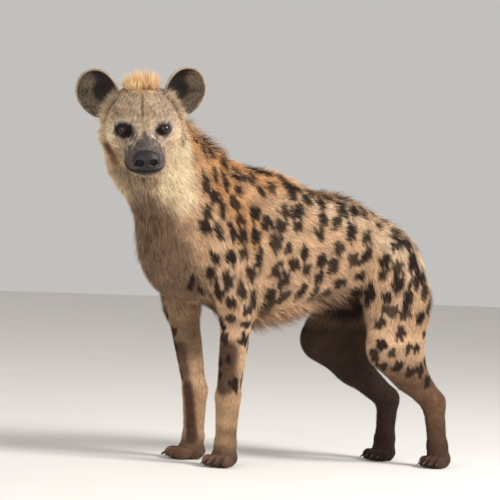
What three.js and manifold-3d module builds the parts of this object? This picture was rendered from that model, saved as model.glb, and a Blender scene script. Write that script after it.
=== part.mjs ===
// Spotted hyena, life size, standing with its head turned to its own left.
// Millimetres. +X is the animal's left, -Y is forward, +Z is up, and the floor is z = 0.

import * as THREE from "three";
import { mergeVertices } from "three/addons/utils/BufferGeometryUtils.js";
import Module from "manifold-3d";

const wasm = await Module();
wasm.setup();

// Driving dimensions of the stance
const WITHERS_HEIGHT = 800;
const ELBOW_HEIGHT = 0.54 * WITHERS_HEIGHT;
const WRIST_HEIGHT = 0.235 * WITHERS_HEIGHT;
const KNEE_HEIGHT = 0.415 * WITHERS_HEIGHT;
const HOCK_HEIGHT = 0.225 * WITHERS_HEIGHT;
const FETLOCK_HEIGHT = 0.075 * WITHERS_HEIGHT;
const FORE_TRACK = 88;
const HIND_TRACK = 86;
const FORELEG_CUT = 414;
const FORELEG_CUT_END = 74;
const HINDLEG_CUT = 412;
const HINDLEG_CUT_START = 310;
const GAP = 0.3;

// Head: where it is carried, where it looks, and its main sizes
const EYE_LINE_AT = new THREE.Vector3(120, -313, 892);
const HEAD_TURN = THREE.MathUtils.degToRad(68.5);
const HEAD_DIP = THREE.MathUtils.degToRad(16);
const HEAD_TILT = THREE.MathUtils.degToRad(4.8);
const EYE_SPACING = 53;
const EYE_RADIUS = 15;
const EYE_FORWARD = 9;
const EYE_UP = 4;
const LID_THICKNESS = 3.2;
const EAR_LENGTH = 138;
const EAR_WIDTH = 118;

const HEAD_FORWARD = new THREE.Vector3(
  Math.sin(HEAD_TURN) * Math.cos(HEAD_DIP),
  -Math.cos(HEAD_TURN) * Math.cos(HEAD_DIP),
  -Math.sin(HEAD_DIP),
);
const HEAD_LEVEL = new THREE.Vector3(Math.cos(HEAD_TURN), Math.sin(HEAD_TURN), 0);
const HEAD_LEFT = HEAD_LEVEL.clone().applyAxisAngle(HEAD_FORWARD, HEAD_TILT);
const HEAD_UP = HEAD_FORWARD.clone().cross(HEAD_LEFT);

const COLOURS = {
  coat: [0.72, 0.56, 0.36],
  face: [0.55, 0.48, 0.4],
  dark: [0.2, 0.14, 0.1],
  nose: [0.06, 0.05, 0.05],
  eye: [0.04, 0.025, 0.015],
  brush: [0.07, 0.05, 0.04],
};

function point(x, y, z) {
  return new THREE.Vector3(x, y, z);
}

// A place on the head: across to its left, forward of the eyes, up from the eyes
function onHead(across, forward, up) {
  return EYE_LINE_AT.clone()
    .addScaledVector(HEAD_LEFT, across)
    .addScaledVector(HEAD_FORWARD, forward)
    .addScaledVector(HEAD_UP, up);
}

function headDirection(across, forward, up) {
  return onHead(across, forward, up).sub(EYE_LINE_AT).normalize();
}

// Muscle masses as distance functions, blended with one another

function softMin(a, b, blend) {
  const overlap = Math.max(blend - Math.abs(a - b), 0) / blend;
  return Math.min(a, b) - (overlap * overlap * blend) / 4;
}

// A limb: a round bar from one joint to the next, its thickness across X in proportion
function limb(from, to, fromRadius, toRadius, { across = 1, blend = 30 } = {}) {
  const axis = [(to.x - from.x) / across, to.y - from.y, to.z - from.z];
  const lengthSq = axis[0] ** 2 + axis[1] ** 2 + axis[2] ** 2;
  const taper = fromRadius - toRadius;
  const slantSq = lengthSq - taper * taper;
  const shrink = Math.sqrt(Math.min(across, 1));
  const distance = (x, y, z) => {
    const px = (x - from.x) / across;
    const py = y - from.y;
    const pz = z - from.z;
    const along = px * axis[0] + py * axis[1] + pz * axis[2];
    const past = along - lengthSq;
    const ox = px * lengthSq - axis[0] * along;
    const oy = py * lengthSq - axis[1] * along;
    const oz = pz * lengthSq - axis[2] * along;
    const offSq = ox * ox + oy * oy + oz * oz;
    const alongSq = along * along * lengthSq;
    const pastSq = past * past * lengthSq;
    const turn = Math.sign(taper) * taper * taper * offSq;
    if (Math.sign(past) * slantSq * pastSq > turn) {
      return (Math.sqrt(offSq + pastSq) / lengthSq - toRadius) * shrink;
    }
    if (Math.sign(along) * slantSq * alongSq < turn) {
      return (Math.sqrt(offSq + alongSq) / lengthSq - fromRadius) * shrink;
    }
    return ((Math.sqrt((offSq * slantSq) / lengthSq) + along * taper) / lengthSq - fromRadius) * shrink;
  };
  return { distance, blend };
}

// A muscle: an ellipsoid, tipped about the X axis by lean degrees
function muscle(centre, radii, { lean = 0, blend = 30 } = {}) {
  const cos = Math.cos(THREE.MathUtils.degToRad(lean));
  const sin = Math.sin(THREE.MathUtils.degToRad(lean));
  const distance = (x, y, z) => {
    const px = x - centre.x;
    const dy = y - centre.y;
    const dz = z - centre.z;
    const py = cos * dy + sin * dz;
    const pz = cos * dz - sin * dy;
    const k0 = Math.hypot(px / radii[0], py / radii[1], pz / radii[2]);
    const k1 = Math.hypot(px / radii[0] ** 2, py / radii[1] ** 2, pz / radii[2] ** 2);
    return k1 === 0 ? -Math.min(...radii) : (k0 * (k0 - 1)) / k1;
  };
  return { distance, blend };
}

function blended(masses) {
  return (x, y, z) => {
    let nearest = masses[0].distance(x, y, z);
    for (let i = 1; i < masses.length; i += 1) {
      nearest = softMin(nearest, masses[i].distance(x, y, z), masses[i].blend);
    }
    return nearest;
  };
}

const trunkMasses = [
  limb(point(0, -40, 612), point(0, 110, 590), 176, 192, { across: 0.66 }),
  limb(point(0, 110, 585), point(0, 320, 588), 186, 146, { across: 0.74, blend: 60 }),
  limb(point(0, 320, 616), point(0, 462, 592), 116, 98, { across: 0.9, blend: 60 }),
  muscle(point(0, 515, 545), [92, 104, 98], { lean: 30, blend: 50 }),
  muscle(point(0, -130, 575), [102, 104, 128], { lean: 10, blend: 60 }),
  limb(point(0, -40, 712), point(0, 110, 688), 98, 94, { across: 0.7, blend: 60 }),
];

const neckMasses = [
  limb(point(0, -98, 690), point(20, -238, 828), 150, 119, { across: 0.8, blend: 60 }),
  limb(point(0, -30, 730), point(28, -208, 864), 76, 70, { across: 0.85, blend: 50 }),
  limb(point(22, -238, 830), onHead(0, -92, -26), 112, 92, { blend: 50 }),
];

// Head masses, in the head's own frame: across, forward, up
const skullMasses = [
  muscle(point(0, -78, 28), [84, 88, 64]),
  muscle(point(52, -62, -24), [57, 72, 58], { blend: 34 }),
  muscle(point(-52, -62, -24), [57, 72, 58], { blend: 34 }),
  limb(point(0, -40, 32), point(0, 12, -4), 50, 31, { across: 1.4, blend: 36 }),
  limb(point(0, 0, -36), point(0, 68, -62), 54, 40, { across: 1.16, blend: 34 }),
  limb(point(0, -60, -76), point(0, 58, -86), 44, 22, { across: 1.4, blend: 26 }),
  limb(point(0, 8, -14), point(0, 86, -42), 30, 22, { blend: 22 }),
  muscle(point(27, 66, -70), [26, 36, 23], { blend: 16 }),
  muscle(point(-27, 66, -70), [26, 36, 23], { blend: 16 }),
  muscle(point(46, -6, 24), [26, 22, 12], { blend: 22 }),
  muscle(point(-46, -6, 24), [26, 22, 12], { blend: 22 }),
  muscle(point(0, -84, 66), [60, 52, 34], { blend: 22 }),
];

const ORBIT_RADII = [29, 17, 20];
const ORBIT_FORWARD = 35;
const ORBIT_BLEND = 18;
const LID_SWELL = 16.5;
const LID_BLEND = 9;
const orbits = [1, -1].map((side) => {
  const centre = point(side * (EYE_SPACING + 4), ORBIT_FORWARD, EYE_UP);
  return muscle(centre, ORBIT_RADII);
});

const lidSwells = [1, -1].map((side) => {
  const centre = point(side * EYE_SPACING, EYE_FORWARD, EYE_UP);
  return muscle(centre, [LID_SWELL + 2, LID_SWELL, LID_SWELL]);
});

const solidSkull = blended(skullMasses);

// The skull with the hollows in which the eyes sit, and the lids that swell out of them
function skull(across, forward, up) {
  let nearest = solidSkull(across, forward, up);
  for (const orbit of orbits) {
    nearest = -softMin(-nearest, orbit.distance(across, forward, up), ORBIT_BLEND);
  }
  for (const swell of lidSwells) {
    nearest = softMin(nearest, swell.distance(across, forward, up), LID_BLEND);
  }
  return nearest;
}

function inHeadFrame(field) {
  return (x, y, z) => {
    const dx = x - EYE_LINE_AT.x;
    const dy = y - EYE_LINE_AT.y;
    const dz = z - EYE_LINE_AT.z;
    return field(
      dx * HEAD_LEFT.x + dy * HEAD_LEFT.y + dz * HEAD_LEFT.z,
      dx * HEAD_FORWARD.x + dy * HEAD_FORWARD.y + dz * HEAD_FORWARD.z,
      dx * HEAD_UP.x + dy * HEAD_UP.y + dz * HEAD_UP.z,
    );
  };
}

// The joints of each leg, and how far its toes turn to the animal's left in degrees
const foreJoints = {
  left: {
    shoulder: point(92, -70, 590),
    elbow: point(106, 6, ELBOW_HEIGHT),
    wrist: point(91, 0, WRIST_HEIGHT),
    fetlock: point(FORE_TRACK, 2, FETLOCK_HEIGHT),
    paw: point(FORE_TRACK, -14, 26),
    toesTurn: 36,
  },
  right: {
    shoulder: point(-92, -92, 585),
    elbow: point(-112, -54, ELBOW_HEIGHT),
    wrist: point(-90, -8, WRIST_HEIGHT),
    fetlock: point(-FORE_TRACK, -6, FETLOCK_HEIGHT),
    paw: point(-FORE_TRACK, -24, 26),
    toesTurn: -4,
  },
};

const hindJoints = {
  left: {
    hip: point(66, 490, 548),
    knee: point(100, 484, KNEE_HEIGHT),
    hock: point(HIND_TRACK, 650, HOCK_HEIGHT),
    fetlock: point(HIND_TRACK, 670, FETLOCK_HEIGHT),
    paw: point(HIND_TRACK, 664, 26),
    toesTurn: 30,
  },
  right: {
    hip: point(-66, 470, 548),
    knee: point(-98, 385, KNEE_HEIGHT + 8),
    hock: point(-HIND_TRACK, 602, HOCK_HEIGHT - 6),
    fetlock: point(-HIND_TRACK, 600, FETLOCK_HEIGHT),
    paw: point(-HIND_TRACK, 586, 26),
    toesTurn: 22,
  },
};

function foreMasses({ shoulder, elbow, wrist, fetlock }) {
  const side = Math.sign(elbow.x);
  return [
    muscle(point(side * 84, shoulder.y + 50, 665), [46, 84, 128], { lean: -14 }),
    limb(shoulder, elbow, 84, 56, { across: 0.72, blend: 50 }),
    limb(elbow, wrist, 47, 33, { across: 0.9, blend: 30 }),
    limb(wrist, fetlock, 35, 29, { across: 1, blend: 16 }),
  ];
}

function hindMasses({ hip, knee, hock, fetlock }) {
  const buttock = point(hip.x * 1.05, 545, 462);
  return [
    limb(hip, buttock, 84, 74, { across: 0.74 }),
    limb(hip, knee, 90, 58, { across: 0.7, blend: 50 }),
    limb(buttock, knee.clone().lerp(hock, 0.45), 70, 44, { across: 0.72, blend: 44 }),
    limb(knee, hock, 60, 34, { across: 0.72, blend: 30 }),
    limb(hock, fetlock, 33, 28, { across: 0.9, blend: 16 }),
  ];
}

const FIELD_BLENDS = { neck: 50, head: 26, foreleg: 34, hindleg: 40 };

// Where the coat grows long: there the body lies deeper, and locks stand out of it
const COAT_SOFTNESS = 40;
const longCoat = [
  { depth: 11, zone: limb(point(36, -225, 935), point(0, -60, 812), 62, 62) },
  { depth: 10, zone: limb(point(0, -60, 812), point(0, 300, 742), 58, 50) },
  { depth: 8, zone: limb(point(0, 300, 742), point(0, 540, 660), 50, 46) },
  { depth: 11, zone: limb(point(0, 130, 402), point(0, 310, 452), 76, 56) },
  { depth: 9, zone: limb(point(76, -300, 745), point(8, -240, 610), 66, 62) },
];

const trunk = blended(trunkMasses);
const neckField = blended(neckMasses);
const head = inHeadFrame(skull);
const legFields = {
  foreLeft: blended(foreMasses(foreJoints.left)),
  foreRight: blended(foreMasses(foreJoints.right)),
  hindLeft: blended(hindMasses(hindJoints.left)),
  hindRight: blended(hindMasses(hindJoints.right)),
};

function coatDepth(x, y, z) {
  let depth = 0;
  for (const { depth: most, zone } of longCoat) {
    const share = Math.min(Math.max(0.5 - zone.distance(x, y, z) / COAT_SOFTNESS, 0), 1);
    depth = Math.max(depth, most * share * share * (3 - 2 * share));
  }
  return depth;
}

function body(x, y, z) {
  let nearest = trunk(x, y, z) + coatDepth(x, y, z);
  nearest = softMin(nearest, neckField(x, y, z) + coatDepth(x, y, z), FIELD_BLENDS.neck);
  nearest = softMin(nearest, legFields.foreLeft(x, y, z), FIELD_BLENDS.foreleg);
  nearest = softMin(nearest, legFields.foreRight(x, y, z), FIELD_BLENDS.foreleg);
  nearest = softMin(nearest, legFields.hindLeft(x, y, z), FIELD_BLENDS.hindleg);
  nearest = softMin(nearest, legFields.hindRight(x, y, z), FIELD_BLENDS.hindleg);
  return softMin(nearest, head(x, y, z), FIELD_BLENDS.head);
}

// Lofting: rings of points where rays from a spine leave the field

function reach(field, centre, direction, furthest) {
  let inside = 0;
  let outside = furthest;
  let travelled = 0;
  while (travelled < furthest) {
    const value = field(
      centre.x + direction.x * travelled,
      centre.y + direction.y * travelled,
      centre.z + direction.z * travelled,
    );
    if (value >= 0) {
      outside = travelled;
      break;
    }
    inside = travelled;
    travelled += Math.max(-value * 0.7, 1.5);
  }
  for (let pass = 0; pass < 14; pass += 1) {
    const middle = (inside + outside) / 2;
    const value = field(
      centre.x + direction.x * middle,
      centre.y + direction.y * middle,
      centre.z + direction.z * middle,
    );
    if (value < 0) {
      inside = middle;
    } else {
      outside = middle;
    }
  }
  return Math.max(inside, 1);
}

// Rings between named stops; each stop has a place, a normal and the steps to the next stop
function ringsAlong(stops, sideways) {
  const curve = new THREE.CatmullRomCurve3(stops.map((stop) => stop.at), false, "centripetal");
  const rings = [];
  const gaps = stops.length - 1;
  stops.slice(0, -1).forEach((stop, index) => {
    const next = stops[index + 1];
    const isLast = index === gaps - 1;
    const count = stop.steps + (isLast ? 1 : 0);
    for (let step = 0; step < count; step += 1) {
      const share = step / stop.steps;
      const centre = curve.getPoint((index + share) / gaps);
      const normal = stop.normal.clone().lerp(next.normal, share).normalize();
      const right = sideways.clone().addScaledVector(normal, -sideways.dot(normal)).normalize();
      const up = normal.clone().cross(right);
      rings.push({ centre, right, up });
    }
  });
  return rings;
}

function loft(rings, field, segments, furthest = 320) {
  const positions = [];
  const faces = [];
  rings.forEach((ring) => {
    for (let i = 0; i < segments; i += 1) {
      const angle = (i / segments) * 2 * Math.PI;
      const direction = ring.right.clone().multiplyScalar(Math.cos(angle));
      direction.addScaledVector(ring.up, Math.sin(angle));
      const radius = reach(field, ring.centre, direction, furthest);
      const place = ring.centre.clone().addScaledVector(direction, radius);
      positions.push(place.x, place.y, place.z);
    }
  });
  const startCentre = positions.length / 3;
  positions.push(...rings[0].centre.toArray());
  const endCentre = startCentre + 1;
  positions.push(...rings[rings.length - 1].centre.toArray());
  const lastRow = (rings.length - 1) * segments;
  const corner = (index) => point(...positions.slice(3 * index, 3 * index + 3));
  const apart = (a, b) => corner(a).distanceTo(corner(b));
  for (let i = 0; i < segments; i += 1) {
    const next = (i + 1) % segments;
    for (let row = 0; row < lastRow; row += segments) {
      const [a, b, c, d] = [row + i, row + next, row + segments + next, row + segments + i];
      if (apart(a, c) < apart(b, d)) {
        faces.push(a, b, c, a, c, d);
      } else {
        faces.push(a, b, d, b, c, d);
      }
    }
    faces.push(startCentre, next, i);
    faces.push(endCentre, lastRow + i, lastRow + next);
  }
  return solidFromArrays(positions, faces);
}

// Solids: joining and cutting closed meshes

function solidFromArrays(positions, faces) {
  return new wasm.Manifold(new wasm.Mesh({
    numProp: 3,
    vertProperties: new Float32Array(positions),
    triVerts: new Uint32Array(faces),
  }));
}

function solidFromGeometry(geometry, matrix = new THREE.Matrix4()) {
  const plain = geometry.clone().applyMatrix4(matrix);
  plain.deleteAttribute("normal");
  plain.deleteAttribute("uv");
  const merged = mergeVertices(plain, 1e-3);
  return solidFromArrays(merged.attributes.position.array, merged.index.array);
}

function geometryFromSolid(solid) {
  const pieces = solid.decompose();
  const largest = pieces.reduce((best, piece) => (piece.volume() > best.volume() ? piece : best));
  const mesh = largest.getMesh();
  const geometry = new THREE.BufferGeometry();
  geometry.setAttribute("position", new THREE.BufferAttribute(new Float32Array(mesh.vertProperties), 3));
  geometry.setIndex(new THREE.BufferAttribute(new Uint32Array(mesh.triVerts), 1));
  return geometry;
}

function frameMatrix(origin, right, up, forward) {
  const matrix = new THREE.Matrix4().makeBasis(right, up, forward);
  return matrix.setPosition(origin);
}

// An ellipsoid of few faces, with its radii along three given axes
function egg(centre, radii, axes, segments = 12, rows = 8) {
  const geometry = new THREE.SphereGeometry(1, segments, rows);
  const matrix = frameMatrix(centre, axes[0], axes[1], axes[2]);
  matrix.multiply(new THREE.Matrix4().makeScale(radii[0], radii[1], radii[2]));
  return solidFromGeometry(geometry, matrix);
}

function slab(low, high) {
  const size = high.clone().sub(low);
  const geometry = new THREE.BoxGeometry(size.x, size.y, size.z);
  const middle = low.clone().add(high).multiplyScalar(0.5);
  return solidFromGeometry(geometry, new THREE.Matrix4().setPosition(middle));
}

const X_AXIS = point(1, 0, 0);
const Y_AXIS = point(0, 1, 0);
const Z_AXIS = point(0, 0, 1);
const DOWN = point(0, 0, -1);
const FORWARD = point(0, -1, 0);
const WORLD_AXES = [X_AXIS, Y_AXIS, Z_AXIS];
const HEAD_AXES = [HEAD_LEFT.clone().negate(), HEAD_FORWARD, HEAD_UP];

// Where the body is parted
const HEAD_PART_AT = onHead(0, -78, 6);
const HEAD_PART_NORMAL = headDirection(0, -0.809, -0.588);
const NECK_BASE_AT = point(0, -100, 730);
const NECK_BASE_NORMAL = point(0, 0.6, -0.8);
const TORSO_END = 170;
const ABDOMEN_END = 345;

function parted(place, normal, gapSteps) {
  return place.clone().addScaledVector(normal, gapSteps * GAP);
}

// What lies on the far side of a plane from its normal is cut away
function keepAhead(solid, place, normal) {
  return solid.trimByPlane(normal.toArray(), place.dot(normal));
}

// Locks: flat, tapered and bent blades of fur that overlap along the lie of the coat

const LOCK_SEED = 7;
const LOCK_ROOT = 7;
const LOCK_STATIONS = [
  { share: 0, width: 0.6 },
  { share: 0.34, width: 1 },
  { share: 0.72, width: 0.7 },
];
const LOCK_SIZES = {
  crown: { length: 60, width: 36, thickness: 11, lift: 26 },
  mane: { length: 88, width: 44, thickness: 12, lift: 14 },
  back: { length: 92, width: 40, thickness: 11, lift: 13 },
  ruff: { length: 100, width: 58, thickness: 10, lift: 9 },
  fringe: { length: 78, width: 36, thickness: 11, lift: 17 },
  brush: { length: 112, width: 32, thickness: 12, lift: 12 },
};

function seededRandom(seed) {
  let state = seed;
  return () => {
    state = (state * 1664525 + 1013904223) % 4294967296;
    return state / 4294967296;
  };
}

const random = seededRandom(LOCK_SEED);

function outwardAt(field, place) {
  const step = 3;
  const change = WORLD_AXES.map((axis) => {
    const ahead = place.clone().addScaledVector(axis, step);
    const behind = place.clone().addScaledVector(axis, -step);
    return field(ahead.x, ahead.y, ahead.z) - field(behind.x, behind.y, behind.z);
  });
  return point(...change).normalize();
}

function buildLock(field, root, lie, size) {
  const length = size.length * (0.84 + 0.32 * random());
  const sway = 0.5 * (random() - 0.5);
  const positions = [];
  const faces = [];
  const sideStart = outwardAt(field, root).cross(lie).normalize();
  const station = (share) => {
    const free = root.clone().addScaledVector(lie, length * share);
    free.addScaledVector(sideStart, sway * length * share * share);
    const outward = outwardAt(field, free);
    free.addScaledVector(outward, -field(free.x, free.y, free.z));
    const height = (size.lift + LOCK_ROOT) * Math.sin(share * 1.9) - LOCK_ROOT;
    return { place: free.addScaledVector(outward, height), outward };
  };
  for (const { share, width } of LOCK_STATIONS) {
    const { place, outward } = station(share);
    const sideways = outward.clone().cross(lie).normalize();
    const half = (size.width * width) / 2;
    const thick = (size.thickness * width) / 2;
    const base = place.clone().addScaledVector(outward, -thick);
    const crest = place.clone().addScaledVector(outward, thick);
    positions.push(...base.clone().addScaledVector(sideways, half).toArray());
    positions.push(...crest.toArray());
    positions.push(...base.addScaledVector(sideways, -half).toArray());
  }
  const tip = positions.length / 3;
  positions.push(...station(1).place.toArray());
  const lastRow = tip - 3;
  for (let i = 0; i < 3; i += 1) {
    const next = (i + 1) % 3;
    for (let row = 0; row < lastRow; row += 3) {
      faces.push(row + i, row + next, row + 3 + next, row + i, row + 3 + next, row + 3 + i);
    }
    faces.push(tip, lastRow + i, lastRow + next);
  }
  faces.push(0, 2, 1);
  return solidFromArrays(positions, faces);
}

// Locks in staggered rows along a path inside the body, fanned out round it by the given angles
function growLocks(field, path, { from, to, rows, fan, size, facing, splay }) {
  const locks = [];
  for (let row = 0; row < rows; row += 1) {
    const share = from + ((to - from) * (row + 0.5)) / rows;
    const centre = path.getPointAt(share);
    const tangent = path.getTangentAt(share);
    const right = tangent.clone().cross(facing).normalize();
    const up = right.clone().cross(tangent);
    const columns = row % 2 === 0 ? fan.columns : fan.columns - 1;
    for (let column = 0; column < columns; column += 1) {
      const jitter = 0.3 * (random() - 0.5);
      const angle = fan.step * (column - (columns - 1) / 2 + jitter);
      const direction = up.clone().multiplyScalar(Math.cos(angle)).addScaledVector(right, Math.sin(angle));
      const around = right.clone().multiplyScalar(Math.cos(angle)).addScaledVector(up, -Math.sin(angle));
      const root = centre.clone().addScaledVector(direction, reach(field, centre, direction, 320));
      const turn = splay * angle + 0.25 * (random() - 0.5);
      const lie = tangent.clone().multiplyScalar(Math.cos(turn)).addScaledVector(around, Math.sin(turn));
      locks.push(buildLock(field, root, lie, size));
    }
  }
  return locks;
}

const degrees = THREE.MathUtils.degToRad;

const spineLine = new THREE.CatmullRomCurve3([
  onHead(0, -92, 30),
  point(30, -205, 850),
  point(0, -100, 745),
  point(0, 20, 670),
  point(0, 170, 630),
  point(0, 345, 625),
  point(0, 480, 590),
  point(0, 575, 530),
]);
const bellyLine = new THREE.CatmullRomCurve3([point(0, 90, 520), point(0, 200, 525), point(0, 330, 545)]);
const throatLine = new THREE.CatmullRomCurve3([
  point(46, -268, 800),
  point(14, -180, 720),
  point(0, -110, 600),
]);
const crownLine = new THREE.CatmullRomCurve3([onHead(0, -32, 40), onHead(0, -70, 46), onHead(0, -126, 40)]);

const crownLocks = growLocks(body, crownLine, {
  from: 0.06,
  to: 0.8,
  rows: 3,
  fan: { columns: 4, step: degrees(20) },
  size: LOCK_SIZES.crown,
  facing: HEAD_UP,
  splay: 0.4,
});
const maneLocks = growLocks(body, spineLine, {
  from: 0.04,
  to: 0.34,
  rows: 6,
  fan: { columns: 3, step: degrees(27) },
  size: LOCK_SIZES.mane,
  facing: Z_AXIS,
  splay: 0.5,
});
const backLocks = growLocks(body, spineLine, {
  from: 0.34,
  to: 0.94,
  rows: 9,
  fan: { columns: 3, step: degrees(26) },
  size: LOCK_SIZES.back,
  facing: Z_AXIS,
  splay: 0.5,
});
const fringeLocks = growLocks(body, bellyLine, {
  from: 0.1,
  to: 0.95,
  rows: 4,
  fan: { columns: 4, step: degrees(26) },
  size: LOCK_SIZES.fringe,
  facing: DOWN,
  splay: 0.2,
});
const ruffLocks = growLocks(body, throatLine, {
  from: 0,
  to: 0.84,
  rows: 4,
  fan: { columns: 3, step: degrees(32) },
  size: LOCK_SIZES.ruff,
  facing: point(0.25, -1, 0),
  splay: 0.3,
});

function withLocks(core, locks) {
  return wasm.Manifold.union([core, ...locks]);
}

// The bare head, swollen by a given amount where a neighbour has to keep clear of it
function headShape(swell = 0) {
  const front = HEAD_FORWARD.clone().negate();
  const stops = [
    { at: onHead(0, 110, -70), normal: front, steps: 1 },
    { at: onHead(0, 106, -70), normal: front, steps: 2 },
    { at: onHead(0, 94, -68), normal: front, steps: 2 },
    { at: onHead(0, 66, -58), normal: front, steps: 3 },
    { at: onHead(0, 34, -46), normal: front, steps: 4 },
    { at: onHead(0, 2, -32), normal: headDirection(0, -0.97, -0.24), steps: 6 },
    { at: parted(HEAD_PART_AT, HEAD_PART_NORMAL, 1), normal: HEAD_PART_NORMAL, steps: 1 },
  ];
  const shape = loft(ringsAlong(stops, HEAD_LEFT), (x, y, z) => body(x, y, z) - swell, 40, 220);
  return keepAhead(shape, HEAD_PART_AT, HEAD_PART_NORMAL.clone().negate());
}

// Eyelid: a shell over the eyeball with an almond slit, rooted in the orbit
const LID_SLIT = { halfLength: 17, halfHeight: 11.5, turnOut: 0.42, rise: 0.1 };

function eyeAxes(side) {
  const outward = headDirection(side * Math.sin(LID_SLIT.turnOut), Math.cos(LID_SLIT.turnOut), 0);
  const up = HEAD_UP.clone();
  const across = up.clone().cross(outward).normalize();
  const roll = new THREE.Quaternion().setFromAxisAngle(outward, side * LID_SLIT.rise);
  return [across.applyQuaternion(roll), up.applyQuaternion(roll), outward];
}

function buildLids(side) {
  const at = onHead(side * EYE_SPACING, EYE_FORWARD, EYE_UP);
  const [across, up, outward] = eyeAxes(side);
  const axes = [across, up, outward];
  const outer = EYE_RADIUS + LID_THICKNESS;
  const shell = egg(at, [outer + 2, outer, outer], axes, 12, 8);
  const almond = new THREE.Shape();
  almond.moveTo(-LID_SLIT.halfLength, -1);
  almond.quadraticCurveTo(0, 2 * LID_SLIT.halfHeight, LID_SLIT.halfLength, 1);
  almond.quadraticCurveTo(0, -1.7 * LID_SLIT.halfHeight, -LID_SLIT.halfLength, -1);
  const slit = new THREE.ExtrudeGeometry(almond, { depth: 40, bevelEnabled: false, curveSegments: 4 });
  return { shell, slit: solidFromGeometry(slit, frameMatrix(at, across, up, outward)) };
}

// The mouth: a groove that runs round the muzzle below the lips
const MOUTH_CORNER = [60, 34, -52];
const MOUTH_BEND = [64, 92, -78];
const MOUTH_FRONT = [0, 122, -102];
const MOUTH_DEPTH = 5;

function buildMouthCut() {
  const along = [];
  for (const side of [1, -1]) {
    const ends = [MOUTH_CORNER, MOUTH_BEND, MOUTH_FRONT].map((place) => point(...place));
    const curve = new THREE.QuadraticBezierCurve3(...ends);
    const places = curve.getPoints(7).map((place) => point(side * place.x, place.y, place.z));
    along.push(...(side === 1 ? places : places.reverse().slice(1)));
  }
  const surface = along.map((place) => {
    const inner = point(place.x * 0.2, place.y - 40, place.z + 8);
    const direction = place.clone().sub(inner).normalize();
    const depth = reach(skull, inner, direction, 120);
    return onHead(...inner.addScaledVector(direction, depth).toArray());
  });
  const path = new THREE.CatmullRomCurve3(surface);
  const wedge = new THREE.Shape();
  const halfOpen = 2.6;
  wedge.moveTo(-MOUTH_DEPTH, 0);
  wedge.lineTo(0, -halfOpen);
  wedge.lineTo(MOUTH_DEPTH, 0);
  wedge.lineTo(0, halfOpen);
  const groove = new THREE.ExtrudeGeometry(wedge, { steps: 13, extrudePath: path, bevelEnabled: false });
  return solidFromGeometry(groove);
}

function buildHead(shape) {
  const lids = [buildLids(1), buildLids(-1)];
  let solid = shape;
  for (const lid of lids) {
    solid = solid.add(lid.shell);
  }
  for (const [index, lid] of lids.entries()) {
    const side = index === 0 ? 1 : -1;
    const at = onHead(side * EYE_SPACING, EYE_FORWARD, EYE_UP);
    const room = EYE_RADIUS + GAP;
    solid = solid.subtract(egg(at, [room, room, room], eyeAxes(side), 12, 8)).subtract(lid.slit);
  }
  return solid.subtract(buildMouthCut());
}

// Nose: a broad leathery pad with two comma-shaped nostrils, seated on the end of the muzzle
const NOSE_AT = [0, 106, -51];
const NOSE_RADII = [33, 22, 23];

function buildNose(swollenHead) {
  let pad = egg(onHead(...NOSE_AT), NOSE_RADII, HEAD_AXES, 12, 8);
  for (const side of [1, -1]) {
    const hole = egg(onHead(side * 16, 127, -51), [7.5, 14, 6.5], HEAD_AXES, 8, 5);
    const wing = egg(onHead(side * 26, 119, -54), [8, 12, 3.4], HEAD_AXES, 6, 4);
    pad = pad.subtract(hole).subtract(wing);
  }
  const groove = slab(point(-1.1, 0, -30), point(1.1, 30, -4));
  const place = frameMatrix(onHead(0, 121, -52), ...HEAD_AXES);
  return pad.subtract(groove.transform(place.elements)).subtract(swollenHead);
}

function buildNeck(swell = 0) {
  const stops = [
    { at: parted(HEAD_PART_AT, HEAD_PART_NORMAL, 1), normal: HEAD_PART_NORMAL, steps: 3 },
    { at: point(24, -196, 830), normal: HEAD_PART_NORMAL.clone().lerp(NECK_BASE_NORMAL, 0.55), steps: 4 },
    { at: NECK_BASE_AT, normal: NECK_BASE_NORMAL, steps: 1 },
  ];
  return loft(ringsAlong(stops, X_AXIS), (x, y, z) => body(x, y, z) - swell, 30);
}

// The body with its legs left as short stubs below the cut
const LEG_STUB = 40;

function aboveLegs(cutHeight, fromY, toY, swell = 0) {
  return (x, y, z) => {
    const value = body(x, y, z) - swell;
    return y > fromY && y < toY ? Math.max(value, cutHeight - z) : value;
  };
}

function buildTorso() {
  const stops = [
    { at: parted(NECK_BASE_AT, NECK_BASE_NORMAL, 1), normal: NECK_BASE_NORMAL, steps: 4 },
    { at: point(0, -20, 650), normal: point(0, 0.85, -0.53), steps: 5 },
    { at: point(0, 70, 605), normal: Y_AXIS, steps: 2 },
    { at: point(0, TORSO_END, 595), normal: Y_AXIS, steps: 1 },
  ];
  const field = aboveLegs(FORELEG_CUT - LEG_STUB, -400, FORELEG_CUT_END + 2);
  const shape = loft(ringsAlong(stops, X_AXIS), field, 40);
  const below = slab(point(-300, -400, FORELEG_CUT - 2 * LEG_STUB), point(300, FORELEG_CUT_END, FORELEG_CUT));
  return shape.subtract(below);
}

function legRoom() {
  return slab(point(-300, HINDLEG_CUT_START, HINDLEG_CUT - 2 * LEG_STUB), point(300, 700, HINDLEG_CUT));
}

function buildAbdomen() {
  const stops = [
    { at: point(0, TORSO_END + GAP, 595), normal: Y_AXIS, steps: 5 },
    { at: point(0, ABDOMEN_END, 600), normal: Y_AXIS, steps: 1 },
  ];
  const field = aboveLegs(HINDLEG_CUT - LEG_STUB, HINDLEG_CUT_START, 700);
  return loft(ringsAlong(stops, X_AXIS), field, 32).subtract(legRoom());
}

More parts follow.
